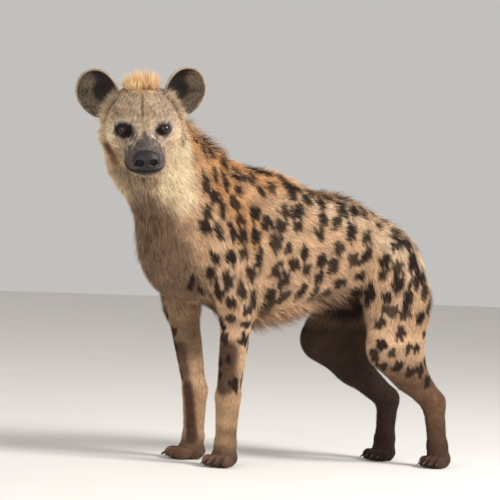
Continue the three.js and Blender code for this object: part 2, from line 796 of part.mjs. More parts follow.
function buildRump(swell = 0) {
  const stops = [
    { at: point(0, ABDOMEN_END + GAP, 600), normal: Y_AXIS, steps: 4 },
    { at: point(0, 450, 590), normal: Y_AXIS, steps: 3 },
    { at: point(0, 560, 545), normal: Y_AXIS, steps: 4 },
    { at: point(0, 618, 500), normal: Y_AXIS, steps: 1 },
  ];
  const field = aboveLegs(HINDLEG_CUT - LEG_STUB, HINDLEG_CUT_START, 700, swell);
  return loft(ringsAlong(stops, X_AXIS), field, 40).subtract(legRoom());
}

function legSection(top, bottom, topNormal, bottomNormal, field, steps, segments) {
  const stops = [
    { at: top, normal: topNormal, steps },
    { at: bottom, normal: bottomNormal, steps: 1 },
  ];
  return loft(ringsAlong(stops, X_AXIS), field, segments, 160);
}

// The body on one side of the middle plane only, between two places along it
function oneSide(side, fromY, toY) {
  return (x, y, z) => Math.max(body(x, y, z), GAP - side * x, fromY - y, y - toY);
}

function onLine(from, to, height) {
  return from.clone().lerp(to, (from.z - height) / (from.z - to.z));
}

function buildForeleg(joints, field) {
  const { elbow, wrist, fetlock } = joints;
  const top = onLine(elbow, wrist, FORELEG_CUT - GAP);
  const split = WRIST_HEIGHT + 14;
  const upperField = oneSide(Math.sign(elbow.x), -400, FORELEG_CUT_END - GAP);
  return {
    forearm: legSection(top, onLine(elbow, wrist, split), DOWN, DOWN, upperField, 6, 18),
    forefoot: legSection(onLine(elbow, wrist, split - GAP), fetlock, DOWN, DOWN, field, 4, 16),
  };
}

function buildHindleg(joints, field) {
  const { hip, knee, hock, fetlock } = joints;
  const kneeCut = knee.clone().lerp(hock, 0.2);
  const hockCut = knee.clone().lerp(hock, 0.86);
  const kneeNormal = point(0, 0.5, -0.866);
  const hockNormal = point(0, 0.3, -0.954);
  const top = onLine(hip.clone().add(point(0, 10, 0)), kneeCut, HINDLEG_CUT - GAP);
  const thighField = oneSide(Math.sign(hip.x), HINDLEG_CUT_START, 800);
  return {
    thigh: legSection(top, kneeCut, DOWN, kneeNormal, thighField, 5, 24),
    shank: legSection(parted(kneeCut, kneeNormal, 1), hockCut, kneeNormal, hockNormal, field, 6, 18),
    hindfoot: legSection(parted(hockCut, hockNormal, 1), fetlock, hockNormal, DOWN, field, 5, 16),
  };
}

// Paw: a pad, four toes with claws, and the pastern that meets the leg above
const TOE_COUNT = 4;
const FOREPAW_SIZE = { length: 108, width: 82 };
const HINDPAW_SIZE = { length: 98, width: 72 };

function buildPaw({ paw, fetlock, toesTurn }, { length, width }) {
  const padMiddle = point(paw.x, paw.y + 0.14 * length, 0);
  const across = X_AXIS.clone().applyAxisAngle(Z_AXIS, degrees(toesTurn));
  const forward = FORWARD.clone().applyAxisAngle(Z_AXIS, degrees(toesTurn));
  const onPaw = (sideways, ahead, up) => {
    const place = padMiddle.clone().addScaledVector(across, sideways).addScaledVector(forward, ahead);
    return place.setZ(up);
  };
  const padAxes = [across, forward.clone().negate(), Z_AXIS];
  let solid = egg(onPaw(0, 0, 24), [width * 0.44, length * 0.38, 30], padAxes, 9, 5);
  for (let toe = 0; toe < TOE_COUNT; toe += 1) {
    const spread = toe / (TOE_COUNT - 1) - 0.5;
    const inner = 1 - 0.9 * spread * spread;
    const toeMiddle = onPaw(spread * width * 0.74, length * (0.14 + 0.3 * inner), 16);
    const heading = forward.clone().applyAxisAngle(Z_AXIS, spread * 0.5);
    const axes = [heading.clone().cross(Z_AXIS).negate(), Z_AXIS.clone(), heading];
    solid = solid.add(egg(toeMiddle, [width * 0.14, 19, length * 0.25], axes, 6, 4));
    const clawRoot = toeMiddle.clone().setZ(13).addScaledVector(heading, length * 0.2);
    const claw = new THREE.ConeGeometry(4, 18, 4);
    const lean = new THREE.Quaternion().setFromUnitVectors(Y_AXIS, heading.clone().setZ(-0.45).normalize());
    const place = new THREE.Matrix4().compose(clawRoot, lean, point(1, 1, 1));
    solid = solid.add(solidFromGeometry(claw, place));
  }
  const pasternField = blended([limb(fetlock, onPaw(0, 0.04 * length, 26), 29, 32)]);
  const pasternTop = fetlock.clone().setZ(FETLOCK_HEIGHT - GAP);
  const pastern = legSection(pasternTop, onPaw(0, 0.02 * length, 14), DOWN, DOWN, pasternField, 1, 10);
  solid = solid.add(pastern);
  const below = slab(point(-400, -400, -100), point(400, 900, 0));
  const above = slab(point(-400, -400, FETLOCK_HEIGHT - GAP), point(400, 900, 200));
  return solid.subtract(below).subtract(above);
}

// Ear: a rounded spoon with a deep cup, its base narrowing into the head
const EAR = { rows: 10, arc: 8, wall: 6, depth: 44, baseNarrowing: 0.1 };

function buildEar(side, neighbours) {
  const tipward = headDirection(side * 0.26, -0.14, 0.95);
  const facing = headDirection(side * 0.3, 0.93, 0);
  facing.addScaledVector(tipward, -facing.dot(tipward)).normalize();
  const outward = tipward.clone().cross(facing).multiplyScalar(side);
  const middle = onHead(side * 117, -92, 73);
  const positions = [];
  const faces = [];
  const ringSize = 2 * (EAR.arc + 1);
  const place = (p, q, n) => {
    const spot = middle.clone().addScaledVector(outward, p).addScaledVector(tipward, q);
    positions.push(...spot.addScaledVector(facing, n).toArray());
  };
  for (let row = 0; row <= EAR.rows; row += 1) {
    const turn = Math.PI * (0.1 + (0.87 * row) / EAR.rows);
    const height = (-Math.cos(turn) * EAR_LENGTH) / 2;
    const swell = Math.sin(turn) ** 0.9;
    const narrow = 1 - EAR.baseNarrowing * Math.max(0, Math.cos(turn));
    const halfWidth = (EAR_WIDTH / 2) * swell * narrow;
    const depth = EAR.depth * swell ** 1.2 * (1 - 0.25 * (row / EAR.rows));
    const sway = -10 * Math.max(0, Math.cos(turn));
    for (let i = 0; i <= EAR.arc; i += 1) {
      const angle = (Math.PI * i) / EAR.arc;
      place(sway + halfWidth * Math.cos(angle), height, -depth * Math.sin(angle));
    }
    const innerWidth = halfWidth * (1 - EAR.wall / (EAR_WIDTH / 2));
    const innerDepth = Math.max(depth - EAR.wall, depth * 0.5);
    for (let i = EAR.arc; i >= 0; i -= 1) {
      const angle = (Math.PI * i) / EAR.arc;
      place(sway + innerWidth * Math.cos(angle), height + 1, 1.5 - innerDepth * Math.sin(angle));
    }
  }
  for (let row = 0; row < EAR.rows; row += 1) {
    for (let i = 0; i < ringSize; i += 1) {
      const a = row * ringSize + i;
      const b = row * ringSize + ((i + 1) % ringSize);
      faces.push(a, b, b + ringSize, a, b + ringSize, a + ringSize);
    }
  }
  const lastRing = EAR.rows * ringSize;
  for (let i = 0; i < EAR.arc; i += 1) {
    const outer = [i, i + 1];
    const inner = [ringSize - 1 - i, ringSize - 2 - i];
    faces.push(outer[0], inner[1], outer[1], outer[0], inner[0], inner[1]);
    const [a, b, c, d] = [outer[0], outer[1], inner[1], inner[0]].map((corner) => corner + lastRing);
    faces.push(a, b, c, a, c, d);
  }
  if (side === -1) {
    for (let i = 0; i < faces.length; i += 3) {
      [faces[i + 1], faces[i + 2]] = [faces[i + 2], faces[i + 1]];
    }
  }
  let ear = solidFromArrays(positions, faces);
  for (const neighbour of neighbours) {
    ear = ear.subtract(neighbour);
  }
  return ear;
}

function buildEye(side) {
  const at = onHead(side * EYE_SPACING, EYE_FORWARD, EYE_UP);
  return egg(at, [EYE_RADIUS, EYE_RADIUS, EYE_RADIUS], eyeAxes(side), 12, 8);
}

// Tail: short, tucked against the cleft of the rump and a little to the right, with a brush of long locks
const TAIL_PATH = [
  point(0, 556, 598),
  point(-14, 616, 560),
  point(-26, 632, 500),
  point(-30, 630, 440),
  point(-28, 624, 382),
];
const TAIL_RADII = [26, 21, 16, 17, 12];
const tailLine = new THREE.CatmullRomCurve3(TAIL_PATH);

function buildTail(neighbours) {
  const masses = [];
  for (let i = 1; i < TAIL_PATH.length; i += 1) {
    masses.push(limb(TAIL_PATH[i - 1], TAIL_PATH[i], TAIL_RADII[i - 1], TAIL_RADII[i], { blend: 12 }));
  }
  const field = blended(masses);
  const stops = TAIL_PATH.map((at, index) => {
    const from = TAIL_PATH[Math.max(index - 1, 0)];
    const to = TAIL_PATH[Math.min(index + 1, TAIL_PATH.length - 1)];
    return { at, normal: to.clone().sub(from).normalize(), steps: 2 };
  });
  const tip = TAIL_PATH[TAIL_PATH.length - 1].clone().add(point(0, 0, -8));
  stops.push({ at: tip, normal: DOWN, steps: 1 });
  const brush = growLocks(field, tailLine, {
    from: 0.3,
    to: 1,
    rows: 2,
    fan: { columns: 4, step: degrees(90) },
    size: LOCK_SIZES.brush,
    facing: Y_AXIS,
    splay: 0,
  });
  let tail = withLocks(loft(ringsAlong(stops, X_AXIS), field, 12, 60), brush);
  for (const neighbour of neighbours) {
    tail = tail.subtract(neighbour);
  }
  return tail;
}

function mesh(name, solid, colour, roughness = 0.9) {
  const material = new THREE.MeshStandardMaterial({
    color: new THREE.Color(...colour),
    roughness,
    metalness: 0,
  });
  const result = new THREE.Mesh(geometryFromSolid(solid), material);
  result.name = name;
  return result;
}

const hyena = new THREE.Group();

const bareHead = headShape();
const clearOfHead = headShape(GAP);
const clearOfNeck = buildNeck(GAP);
const towardsHead = HEAD_PART_NORMAL.clone().negate();
const towardsNeck = NECK_BASE_NORMAL.clone().negate();
const headSolid = withLocks(buildHead(bareHead), [...crownLocks, ...maneLocks]);
hyena.add(mesh("head", keepAhead(headSolid, HEAD_PART_AT, towardsHead), COLOURS.face));
hyena.add(mesh("nose", buildNose(clearOfHead), COLOURS.nose, 0.5));

let neck = withLocks(buildNeck(), [...crownLocks, ...maneLocks, ...ruffLocks]);
neck = keepAhead(neck, parted(HEAD_PART_AT, HEAD_PART_NORMAL, 1), HEAD_PART_NORMAL);
neck = keepAhead(neck, NECK_BASE_AT, towardsNeck);
hyena.add(mesh("neck", neck, COLOURS.coat));

let torso = withLocks(buildTorso(), [...maneLocks, ...backLocks, ...ruffLocks, ...fringeLocks]);
torso = keepAhead(torso, parted(NECK_BASE_AT, NECK_BASE_NORMAL, 1), NECK_BASE_NORMAL);
torso = keepAhead(torso, point(0, TORSO_END, 0), FORWARD);
hyena.add(mesh("torso", torso, COLOURS.coat));

let abdomen = withLocks(buildAbdomen(), [...backLocks, ...fringeLocks]);
abdomen = keepAhead(abdomen, point(0, TORSO_END + GAP, 0), Y_AXIS);
abdomen = keepAhead(abdomen, point(0, ABDOMEN_END, 0), FORWARD);
hyena.add(mesh("abdomen", abdomen, COLOURS.coat));

const rump = withLocks(buildRump(), backLocks);
hyena.add(mesh("rump", keepAhead(rump, point(0, ABDOMEN_END + GAP, 0), Y_AXIS), COLOURS.coat));

const thighs = [];
for (const sideName of ["left", "right"]) {
  const side = sideName === "left" ? 1 : -1;
  hyena.add(mesh(`${sideName}_ear`, buildEar(side, [clearOfHead, clearOfNeck]), COLOURS.face));
  hyena.add(mesh(`${sideName}_eye`, buildEye(side), COLOURS.eye, 0.1));
  const fore = buildForeleg(foreJoints[sideName], legFields[side === 1 ? "foreLeft" : "foreRight"]);
  const hind = buildHindleg(hindJoints[sideName], legFields[side === 1 ? "hindLeft" : "hindRight"]);
  thighs.push(hind.thigh);
  for (const [name, solid] of Object.entries({ ...fore, ...hind })) {
    hyena.add(mesh(`${sideName}_${name}`, solid, COLOURS.coat));
  }
  const forepaw = buildPaw(foreJoints[sideName], FOREPAW_SIZE);
  const hindpaw = buildPaw(hindJoints[sideName], HINDPAW_SIZE);
  hyena.add(mesh(`${sideName}_forepaw`, forepaw, COLOURS.dark));
  hyena.add(mesh(`${sideName}_hindpaw`, hindpaw, COLOURS.dark));
}
hyena.add(mesh("tail", buildTail([buildRump(GAP)]), COLOURS.brush));

// The origin is the middle of the footprint of the whole animal, on the floor
const extent = new THREE.Box3().setFromObject(hyena);
const footprintMiddle = extent.getCenter(new THREE.Vector3());
hyena.position.set(-footprintMiddle.x, -footprintMiddle.y, 0);

export default hyena;
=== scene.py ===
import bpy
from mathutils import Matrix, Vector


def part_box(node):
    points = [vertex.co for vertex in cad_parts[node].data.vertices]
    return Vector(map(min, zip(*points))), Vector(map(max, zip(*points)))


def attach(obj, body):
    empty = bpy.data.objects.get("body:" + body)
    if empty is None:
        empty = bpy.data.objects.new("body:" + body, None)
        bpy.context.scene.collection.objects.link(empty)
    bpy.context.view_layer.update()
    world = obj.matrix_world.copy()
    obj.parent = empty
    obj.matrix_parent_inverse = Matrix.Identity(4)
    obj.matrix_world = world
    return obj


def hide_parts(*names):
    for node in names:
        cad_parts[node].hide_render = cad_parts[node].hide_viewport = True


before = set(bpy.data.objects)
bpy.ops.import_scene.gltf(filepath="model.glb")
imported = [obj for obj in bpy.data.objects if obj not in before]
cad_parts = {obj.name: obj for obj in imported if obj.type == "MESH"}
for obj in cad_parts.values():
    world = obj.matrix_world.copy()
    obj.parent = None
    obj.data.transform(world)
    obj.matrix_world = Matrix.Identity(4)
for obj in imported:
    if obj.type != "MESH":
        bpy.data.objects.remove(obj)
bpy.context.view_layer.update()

import math
from concurrent.futures import ThreadPoolExecutor

import bmesh
import bpy
import numpy as np
from bpy.props import FloatProperty, FloatVectorProperty, PointerProperty
from mathutils import Euler, Matrix, Quaternion, Vector

bl_info = {
    "name": "Spotted Hyena",
    "version": (1, 0, 0),
    "blender": (4, 5, 0),
    "location": "View3D > Sidebar > Hyena",
    "description": "Dresses the solids of a standing spotted hyena in skin, fur, eyes and claws",
    "category": "Add Mesh",
}

MM = 0.001

# Where the head is carried and how it looks round, as in the solids
EYE_LINE_AT = (120, -313, 892)
HEAD_TURN = math.radians(68.5)
HEAD_DIP = math.radians(16)
HEAD_TILT = math.radians(4.8)
EYE_SPACING = 53
EYE_FORWARD = 9
EYE_UP = 4
EYE_RADIUS = 15

HEAD_FORWARD = Vector((
    math.sin(HEAD_TURN) * math.cos(HEAD_DIP),
    -math.cos(HEAD_TURN) * math.cos(HEAD_DIP),
    -math.sin(HEAD_DIP),
))
HEAD_LEVEL = Vector((math.cos(HEAD_TURN), math.sin(HEAD_TURN), 0))
HEAD_LEFT = Quaternion(HEAD_FORWARD, HEAD_TILT) @ HEAD_LEVEL
HEAD_UP = HEAD_FORWARD.cross(HEAD_LEFT)


def head_offset(across, forward, up):
    """From the middle of the eye line, in millimetres along the head's own axes, to metres."""
    return (HEAD_LEFT * across + HEAD_FORWARD * forward + HEAD_UP * up) * MM


def frame_shift():
    """How far the row frame lies from the frame between the forefeet, read off the left eye."""
    low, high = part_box("left_eye")
    middle = (Vector(low) + Vector(high)) / 2
    drawn = Vector(EYE_LINE_AT) * MM + head_offset(EYE_SPACING, EYE_FORWARD, EYE_UP)
    return drawn - middle


SHIFT = frame_shift()


def place(x, y, z):
    """A point in the row frame, from millimetres measured from between the forefeet."""
    return Vector((x, y, z)) * MM - SHIFT


def on_head(across, forward, up):
    return place(*EYE_LINE_AT) + head_offset(across, forward, up)


# Heights of the joints
WITHERS_HEIGHT = 800
ELBOW_HEIGHT = 0.54 * WITHERS_HEIGHT
WRIST_HEIGHT = 0.235 * WITHERS_HEIGHT
KNEE_HEIGHT = 0.415 * WITHERS_HEIGHT
HOCK_HEIGHT = 0.225 * WITHERS_HEIGHT
FETLOCK_HEIGHT = 0.075 * WITHERS_HEIGHT
FORE_TRACK = 88
HIND_TRACK = 86


# Muscle masses as distance functions over arrays of points

def soft_min(a, b, blend):
    overlap = np.maximum(blend - np.abs(a - b), 0) / blend
    return np.minimum(a, b) - overlap * overlap * blend / 4


def soft_max(a, b, blend):
    return -soft_min(-a, -b, blend)


def smooth_step(share):
    share = np.clip(share, 0, 1)
    return share * share * (3 - 2 * share)


class Mass:
    """One muscle or limb: its distance function, how softly it joins, and the lie of fur over it."""

    def __init__(self, distance, blend, lie, shape):
        self.distance = distance
        self.blend = blend * MM
        self.lie = lie
        self.shape = shape


def limb(start, end, start_radius, end_radius, across=1.0, blend=30, lie=1):
    """A round bar from one joint to the next, its thickness across X in proportion."""
    a = np.array(start)
    b = np.array(end)
    ra = start_radius * MM
    rb = end_radius * MM
    squeeze = np.array([1 / across, 1, 1])
    axis = (b - a) * squeeze
    length_sq = float(axis @ axis)
    taper = ra - rb
    slant_sq = length_sq - taper * taper
    shrink = math.sqrt(min(across, 1))

    def distance(points):
        p = (points - a) * squeeze
        along = p @ axis
        past = along - length_sq
        off = p * length_sq - along[:, None] * axis
        off_sq = np.einsum("ij,ij->i", off, off)
        along_sq = along * along * length_sq
        past_sq = past * past * length_sq
        turn = math.copysign(1, taper) * taper * taper * off_sq
        middle = (np.sqrt(off_sq * slant_sq / length_sq) + along * taper) / length_sq - ra
        far = np.sqrt(off_sq + past_sq) / length_sq - rb
        near = np.sqrt(off_sq + along_sq) / length_sq - ra
        beyond_end = np.sign(past) * slant_sq * past_sq > turn
        before_start = np.sign(along) * slant_sq * along_sq < turn
        return np.where(beyond_end, far, np.where(before_start, near, middle)) * shrink

    direction = (Vector(b) - Vector(a)).normalized() * lie
    shape = [(a, ra, across), (b, rb, across)]
    return Mass(distance, blend, np.array(direction), shape)


def muscle(centre, radii, lean=0, blend=30, lie=(0, 1, -0.25), turn=0):
    """An ellipsoid, tipped about the X axis by lean degrees, then turned about the Z axis."""
    middle = np.array(centre)
    size = np.array(radii) * MM
    axes = Euler((math.radians(lean), 0, math.radians(turn))).to_matrix()
    own_axes = np.array(axes)

    def distance(points):
        p = (points - middle) @ own_axes
        k0 = np.linalg.norm(p / size, axis=1)
        k1 = np.linalg.norm(p / size ** 2, axis=1) + 1e-9
        return k0 * (k0 - 1) / k1

    flow = np.array(Vector(lie).normalized())
    return Mass(distance, blend, flow, [(middle, size, axes)])


FAR = 90 * MM


def blended(masses):
    """The distance to all the masses as one; points well outside the box that holds them count as far."""
    corners = []
    for mass in masses:
        for centre, size, *_ in mass.shape:
            corners += [np.array(centre) - np.max(size), np.array(centre) + np.max(size)]
    low = np.min(corners, axis=0) - FAR
    high = np.max(corners, axis=0) + FAR

    def distance(points):
        near = np.all((points > low) & (points < high), axis=1)
        close = points[near]
        nearest = masses[0].distance(close)
        for mass in masses[1:]:
            nearest = soft_min(nearest, mass.distance(close), mass.blend)
        result = np.full(len(points), FAR)
        result[near] = nearest
        return result
    return distance


def measured(distance, points):
    """A distance over many points, worked out in a few parts at once."""
    parts = np.array_split(points, 12)
    with ThreadPoolExecutor() as pool:
        return np.concatenate(list(pool.map(distance, parts)))


TRUNK = [
    limb(place(0, -40, 612), place(0, 110, 590), 176, 192, across=0.66),
    limb(place(0, 110, 585), place(0, 320, 588), 186, 146, across=0.74, blend=60),
    limb(place(0, 320, 616), place(0, 462, 592), 116, 98, across=0.9, blend=60),
    muscle(place(0, 515, 545), [92, 104, 98], lean=30, blend=50, lie=(0, 0.6, -1)),
    muscle(place(0, -130, 575), [102, 104, 128], lean=10, blend=60, lie=(0, 0.15, -1)),
    limb(place(0, -40, 712), place(0, 110, 688), 98, 94, across=0.7, blend=60),
]

NECK = [
    limb(place(0, -98, 690), place(20, -238, 828), 150, 119, across=0.8, blend=60, lie=-1),
    limb(place(0, -30, 730), place(28, -208, 864), 76, 70, across=0.85, blend=50, lie=-1),
    limb(place(22, -238, 830), on_head(0, -92, -26), 112, 92, blend=50, lie=-1),
]


def head_place(across, forward, up):
    """A point in the head's own axes, in metres."""
    return Vector((across, forward, up)) * MM


BACKWARD = (0, -1, 0.1)

SKULL = [
    muscle(head_place(0, -78, 28), [84, 88, 64], lie=BACKWARD),
    muscle(head_place(52, -62, -24), [57, 72, 58], blend=34, lie=(0.3, -1, -0.4)),
    muscle(head_place(-52, -62, -24), [57, 72, 58], blend=34, lie=(-0.3, -1, -0.4)),
    limb(head_place(0, -40, 32), head_place(0, 12, -4), 50, 31, across=1.4, blend=36, lie=-1),
    limb(head_place(0, 0, -36), head_place(0, 68, -62), 54, 40, across=1.16, blend=34, lie=-1),
    limb(head_place(0, -60, -76), head_place(0, 58, -86), 44, 22, across=1.4, blend=26, lie=-1),
    limb(head_place(0, 8, -14), head_place(0, 86, -42), 30, 22, blend=22, lie=-1),
    muscle(head_place(27, 66, -70), [26, 36, 23], blend=16, lie=(0.5, -1, -0.3)),
    muscle(head_place(-27, 66, -70), [26, 36, 23], blend=16, lie=(-0.5, -1, -0.3)),
    muscle(head_place(46, -6, 24), [26, 22, 12], blend=22, lie=BACKWARD),
    muscle(head_place(-46, -6, 24), [26, 22, 12], blend=22, lie=BACKWARD),
    muscle(head_place(0, -84, 66), [60, 52, 34], blend=22, lie=BACKWARD),
]

ORBIT_RADII = [29, 17, 20]
ORBIT_FORWARD = 35
ORBIT_BLEND = 18 * MM
LID_SWELL = 17.4
LID_BLEND = 9 * MM

ORBITS = [muscle(head_place(side * (EYE_SPACING + 4), ORBIT_FORWARD, EYE_UP), ORBIT_RADII) for side in (1, -1)]
LIDS = [
    muscle(head_place(side * EYE_SPACING, EYE_FORWARD, EYE_UP), [LID_SWELL + 2, LID_SWELL, LID_SWELL])
    for side in (1, -1)
]

FORE_JOINTS = {
    1: {
        "shoulder": place(92, -70, 590),
        "elbow": place(106, 6, ELBOW_HEIGHT),
        "wrist": place(91, 0, WRIST_HEIGHT),
        "fetlock": place(FORE_TRACK, 2, FETLOCK_HEIGHT),
        "paw": place(FORE_TRACK, -14, 26),
        "toes_turn": 36,
    },
    -1: {
        "shoulder": place(-92, -92, 585),
        "elbow": place(-112, -54, ELBOW_HEIGHT),
        "wrist": place(-90, -8, WRIST_HEIGHT),
        "fetlock": place(-FORE_TRACK, -6, FETLOCK_HEIGHT),
        "paw": place(-FORE_TRACK, -24, 26),
        "toes_turn": -4,
    },
}

HIND_JOINTS = {
    1: {
        "hip": place(66, 490, 548),
        "knee": place(100, 484, KNEE_HEIGHT),
        "hock": place(HIND_TRACK, 650, HOCK_HEIGHT),
        "fetlock": place(HIND_TRACK, 670, FETLOCK_HEIGHT),
        "paw": place(HIND_TRACK, 664, 26),
        "toes_turn": 30,
    },
    -1: {
        "hip": place(-66, 470, 548),
        "knee": place(-98, 385, KNEE_HEIGHT + 8),
        "hock": place(-HIND_TRACK, 602, HOCK_HEIGHT - 6),
        "fetlock": place(-HIND_TRACK, 600, FETLOCK_HEIGHT),
        "paw": place(-HIND_TRACK, 586, 26),
        "toes_turn": 22,
    },
}


def foreleg(side):
    joints = FORE_JOINTS[side]
    shoulder_y = (joints["shoulder"].y + SHIFT.y) / MM
    return [
        muscle(place(side * 84, shoulder_y + 50, 665), [46, 84, 128], lean=-14, lie=(0, 0.5, -1)),
        limb(joints["shoulder"], joints["elbow"], 84, 56, across=0.72, blend=50),
        limb(joints["elbow"], joints["wrist"], 47, 33, across=0.9, blend=30),
        limb(joints["wrist"], joints["fetlock"], 35, 29, blend=16),
    ]


def hindleg(side):
    joints = HIND_JOINTS[side]
    hip_x = (joints["hip"].x + SHIFT.x) / MM
    buttock = place(hip_x * 1.05, 545, 462)
    calf = joints["knee"].lerp(joints["hock"], 0.45)
    return [
        limb(joints["hip"], buttock, 84, 74, across=0.74),
        limb(joints["hip"], joints["knee"], 90, 58, across=0.7, blend=50),
        limb(buttock, calf, 70, 44, across=0.72, blend=44),
        limb(joints["knee"], joints["hock"], 60, 34, across=0.72, blend=30),
        limb(joints["hock"], joints["fetlock"], 33, 28, across=0.9, blend=16),
    ]


# Paws: a pastern, a pad and four toes that sink into one another
TOES = 4
PAW_SIZES = {"fore": (108, 82), "hind": (98, 72)}


def on_paw(joints, kind, across, ahead, up):
    """A point from the middle of the pad, in the way that the toes are turned."""
    length = PAW_SIZES[kind][0]
    offset = Euler((0, 0, math.radians(joints["toes_turn"]))).to_matrix() @ Vector((across, -ahead, up))
    return joints["paw"] + (Vector((0, 0.14 * length, 0)) + offset) * MM


def paw(joints, kind):
    length, width = PAW_SIZES[kind]
    turn = joints["toes_turn"]
    masses = [
        limb(joints["fetlock"], on_paw(joints, kind, 0, 0.04 * length, 0), 29, 31, blend=12, lie=1),
        muscle(on_paw(joints, kind, 0, 0, -3), [0.43 * width, 0.37 * length, 26], blend=12, turn=turn,
               lie=(0, -1, -0.6)),
    ]
    for toe in range(TOES):
        spread = toe / (TOES - 1) - 0.5
        reach = 0.14 + 0.3 * (1 - 0.9 * spread * spread)
        middle = on_paw(joints, kind, spread * 0.74 * width, reach * length, -9)
        masses.append(muscle(middle, [0.13 * width, 0.25 * length, 17], blend=6, turn=turn, lie=(spread, -1, -0.7)))
    return masses


TOE_GROOVE = 3.2 * MM


def toe_gaps(joints, kind):
    """The lines between neighbouring toes, from the top of the foot to its front edge."""
    length, width = PAW_SIZES[kind]
    lines = []
    for gap in range(TOES - 1):
        across = ((gap + 0.5) / (TOES - 1) - 0.5) * 0.7 * width
        steps = ((0.34, 12), (0.56, 4), (0.7, -16))
        lines.append([on_paw(joints, kind, across, ahead * length, up) for ahead, up in steps])
    return lines


def from_toe_gaps(points):
    nearest = np.full(len(points), 1.0)
    for all_joints, kind in ((FORE_JOINTS, "fore"), (HIND_JOINTS, "hind")):
        for joints in all_joints.values():
            for line in toe_gaps(joints, kind):
                nearest = np.minimum(nearest, from_line(points, np.array(line)))
    return nearest


LEGS = {
    "left_fore": foreleg(1) + paw(FORE_JOINTS[1], "fore"),
    "right_fore": foreleg(-1) + paw(FORE_JOINTS[-1], "fore"),
    "left_hind": hindleg(1) + paw(HIND_JOINTS[1], "hind"),
    "right_hind": hindleg(-1) + paw(HIND_JOINTS[-1], "hind"),
}
LEG_BLENDS = {"left_fore": 34, "right_fore": 34, "left_hind": 40, "right_hind": 40}
NECK_BLEND = 50 * MM
HEAD_BLEND = 26 * MM

TAIL_PATH = [place(0, 556, 598), place(-14, 616, 560), place(-26, 632, 500), place(-30, 630, 440), place(-28, 624, 382)]
TAIL_RADII = [26, 21, 16, 17, 12]
TAIL = [
    limb(TAIL_PATH[i], TAIL_PATH[i + 1], TAIL_RADII[i], TAIL_RADII[i + 1], blend=12)
    for i in range(len(TAIL_PATH) - 1)
]
TAIL_BLEND = 14 * MM

# Where the coat grows long, the body lies deeper, as in the solids
COAT_SOFTNESS = 40 * MM
LONG_COAT = [
    (11, blended([limb(place(36, -225, 935), place(0, -60, 812), 62, 62)])),
    (10, blended([limb(place(0, -60, 812), place(0, 300, 742), 58, 50)])),
    (8, blended([limb(place(0, 300, 742), place(0, 540, 660), 50, 46)])),
    (11, blended([limb(place(0, 130, 402), place(0, 310, 452), 76, 56)])),
    (9, blended([limb(place(76, -300, 745), place(8, -240, 610), 66, 62)])),
]

HEAD_AXES = np.array([HEAD_LEFT, HEAD_FORWARD, HEAD_UP])
HEAD_AT = np.array(place(*EYE_LINE_AT))

trunk_distance = blended(TRUNK)
neck_distance = blended(NECK)
skull_distance = blended(SKULL)
tail_distance = blended(TAIL)
leg_distances = {name: blended(masses) for name, masses in LEGS.items()}


def to_head(points):
    return (points - HEAD_AT) @ HEAD_AXES.T


def coat_depth(points):
    depth = np.zeros(len(points))
    for most, zone in LONG_COAT:
        share = smooth_step(0.5 - zone(points) / COAT_SOFTNESS)
        depth = np.maximum(depth, most * MM * share)
    return depth


HEAD_REACH = 0.3


def head_distance(points):
    near = np.linalg.norm(points - HEAD_AT, axis=1) < HEAD_REACH
    local = to_head(points[near])
    nearest = skull_distance(local)
    for orbit in ORBITS:
        nearest = soft_max(nearest, -orbit.distance(local), ORBIT_BLEND)
    for lid in LIDS:
        nearest = soft_min(nearest, lid.distance(local), LID_BLEND)
    result = np.full(len(points), FAR)
    result[near] = nearest
    return result


def body_distance(points):
    """How far outside the solids' smooth body each point lies, below zero inside."""
    deeper = coat_depth(points)
    nearest = trunk_distance(points) + deeper
    nearest = soft_min(nearest, neck_distance(points) + deeper, NECK_BLEND)
    for name, distance in leg_distances.items():
        nearest = soft_min(nearest, distance(points), LEG_BLENDS[name] * MM)
    nearest = soft_min(nearest, head_distance(points), HEAD_BLEND)
    nearest = soft_min(nearest, tail_distance(points), TAIL_BLEND)
    return np.maximum(nearest, -points[:, 2])


# Making meshes

def new_object(name, mesh):
    piece = bpy.data.objects.new(name, mesh)
    bpy.context.scene.collection.objects.link(piece)
    return piece


def mesh_from_bmesh(name, bm):
    mesh = bpy.data.meshes.new(name)
    bm.to_mesh(mesh)
    bm.free()
    return mesh


def baked(piece):
    """Applies a piece's modifiers, so that its mesh is the finished one."""
    graph = bpy.context.evaluated_depsgraph_get()
    mesh = bpy.data.meshes.new_from_object(piece.evaluated_get(graph))
    old = piece.data
    piece.modifiers.clear()
    piece.data = mesh
    bpy.data.meshes.remove(old)
    return piece


def finish_piece(piece, slot, nodes, material):
    piece.data.materials.clear()
    piece.data.materials.append(material)
    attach(piece, "root")
    if nodes:
        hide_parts(*nodes)
    return piece


def vertex_array(mesh):
    values = np.empty(len(mesh.vertices) * 3)
    mesh.vertices.foreach_get("co", values)
    return values.reshape(-1, 3)


def set_vertices(mesh, points):
    mesh.vertices.foreach_set("co", points.astype(np.float32).ravel())
    mesh.update()


def normal_array(mesh):
    values = np.empty(len(mesh.vertices) * 3)
    mesh.vertex_normals.foreach_get("vector", values)
    return values.reshape(-1, 3)


def set_attribute(mesh, name, kind, values):
    attribute = mesh.attributes.get(name) or mesh.attributes.new(name, kind, "POINT")
    key = {"FLOAT": "value", "FLOAT_VECTOR": "vector", "FLOAT_COLOR": "color"}[kind]
    attribute.data.foreach_set(key, np.ascontiguousarray(values, dtype=np.float32).ravel())


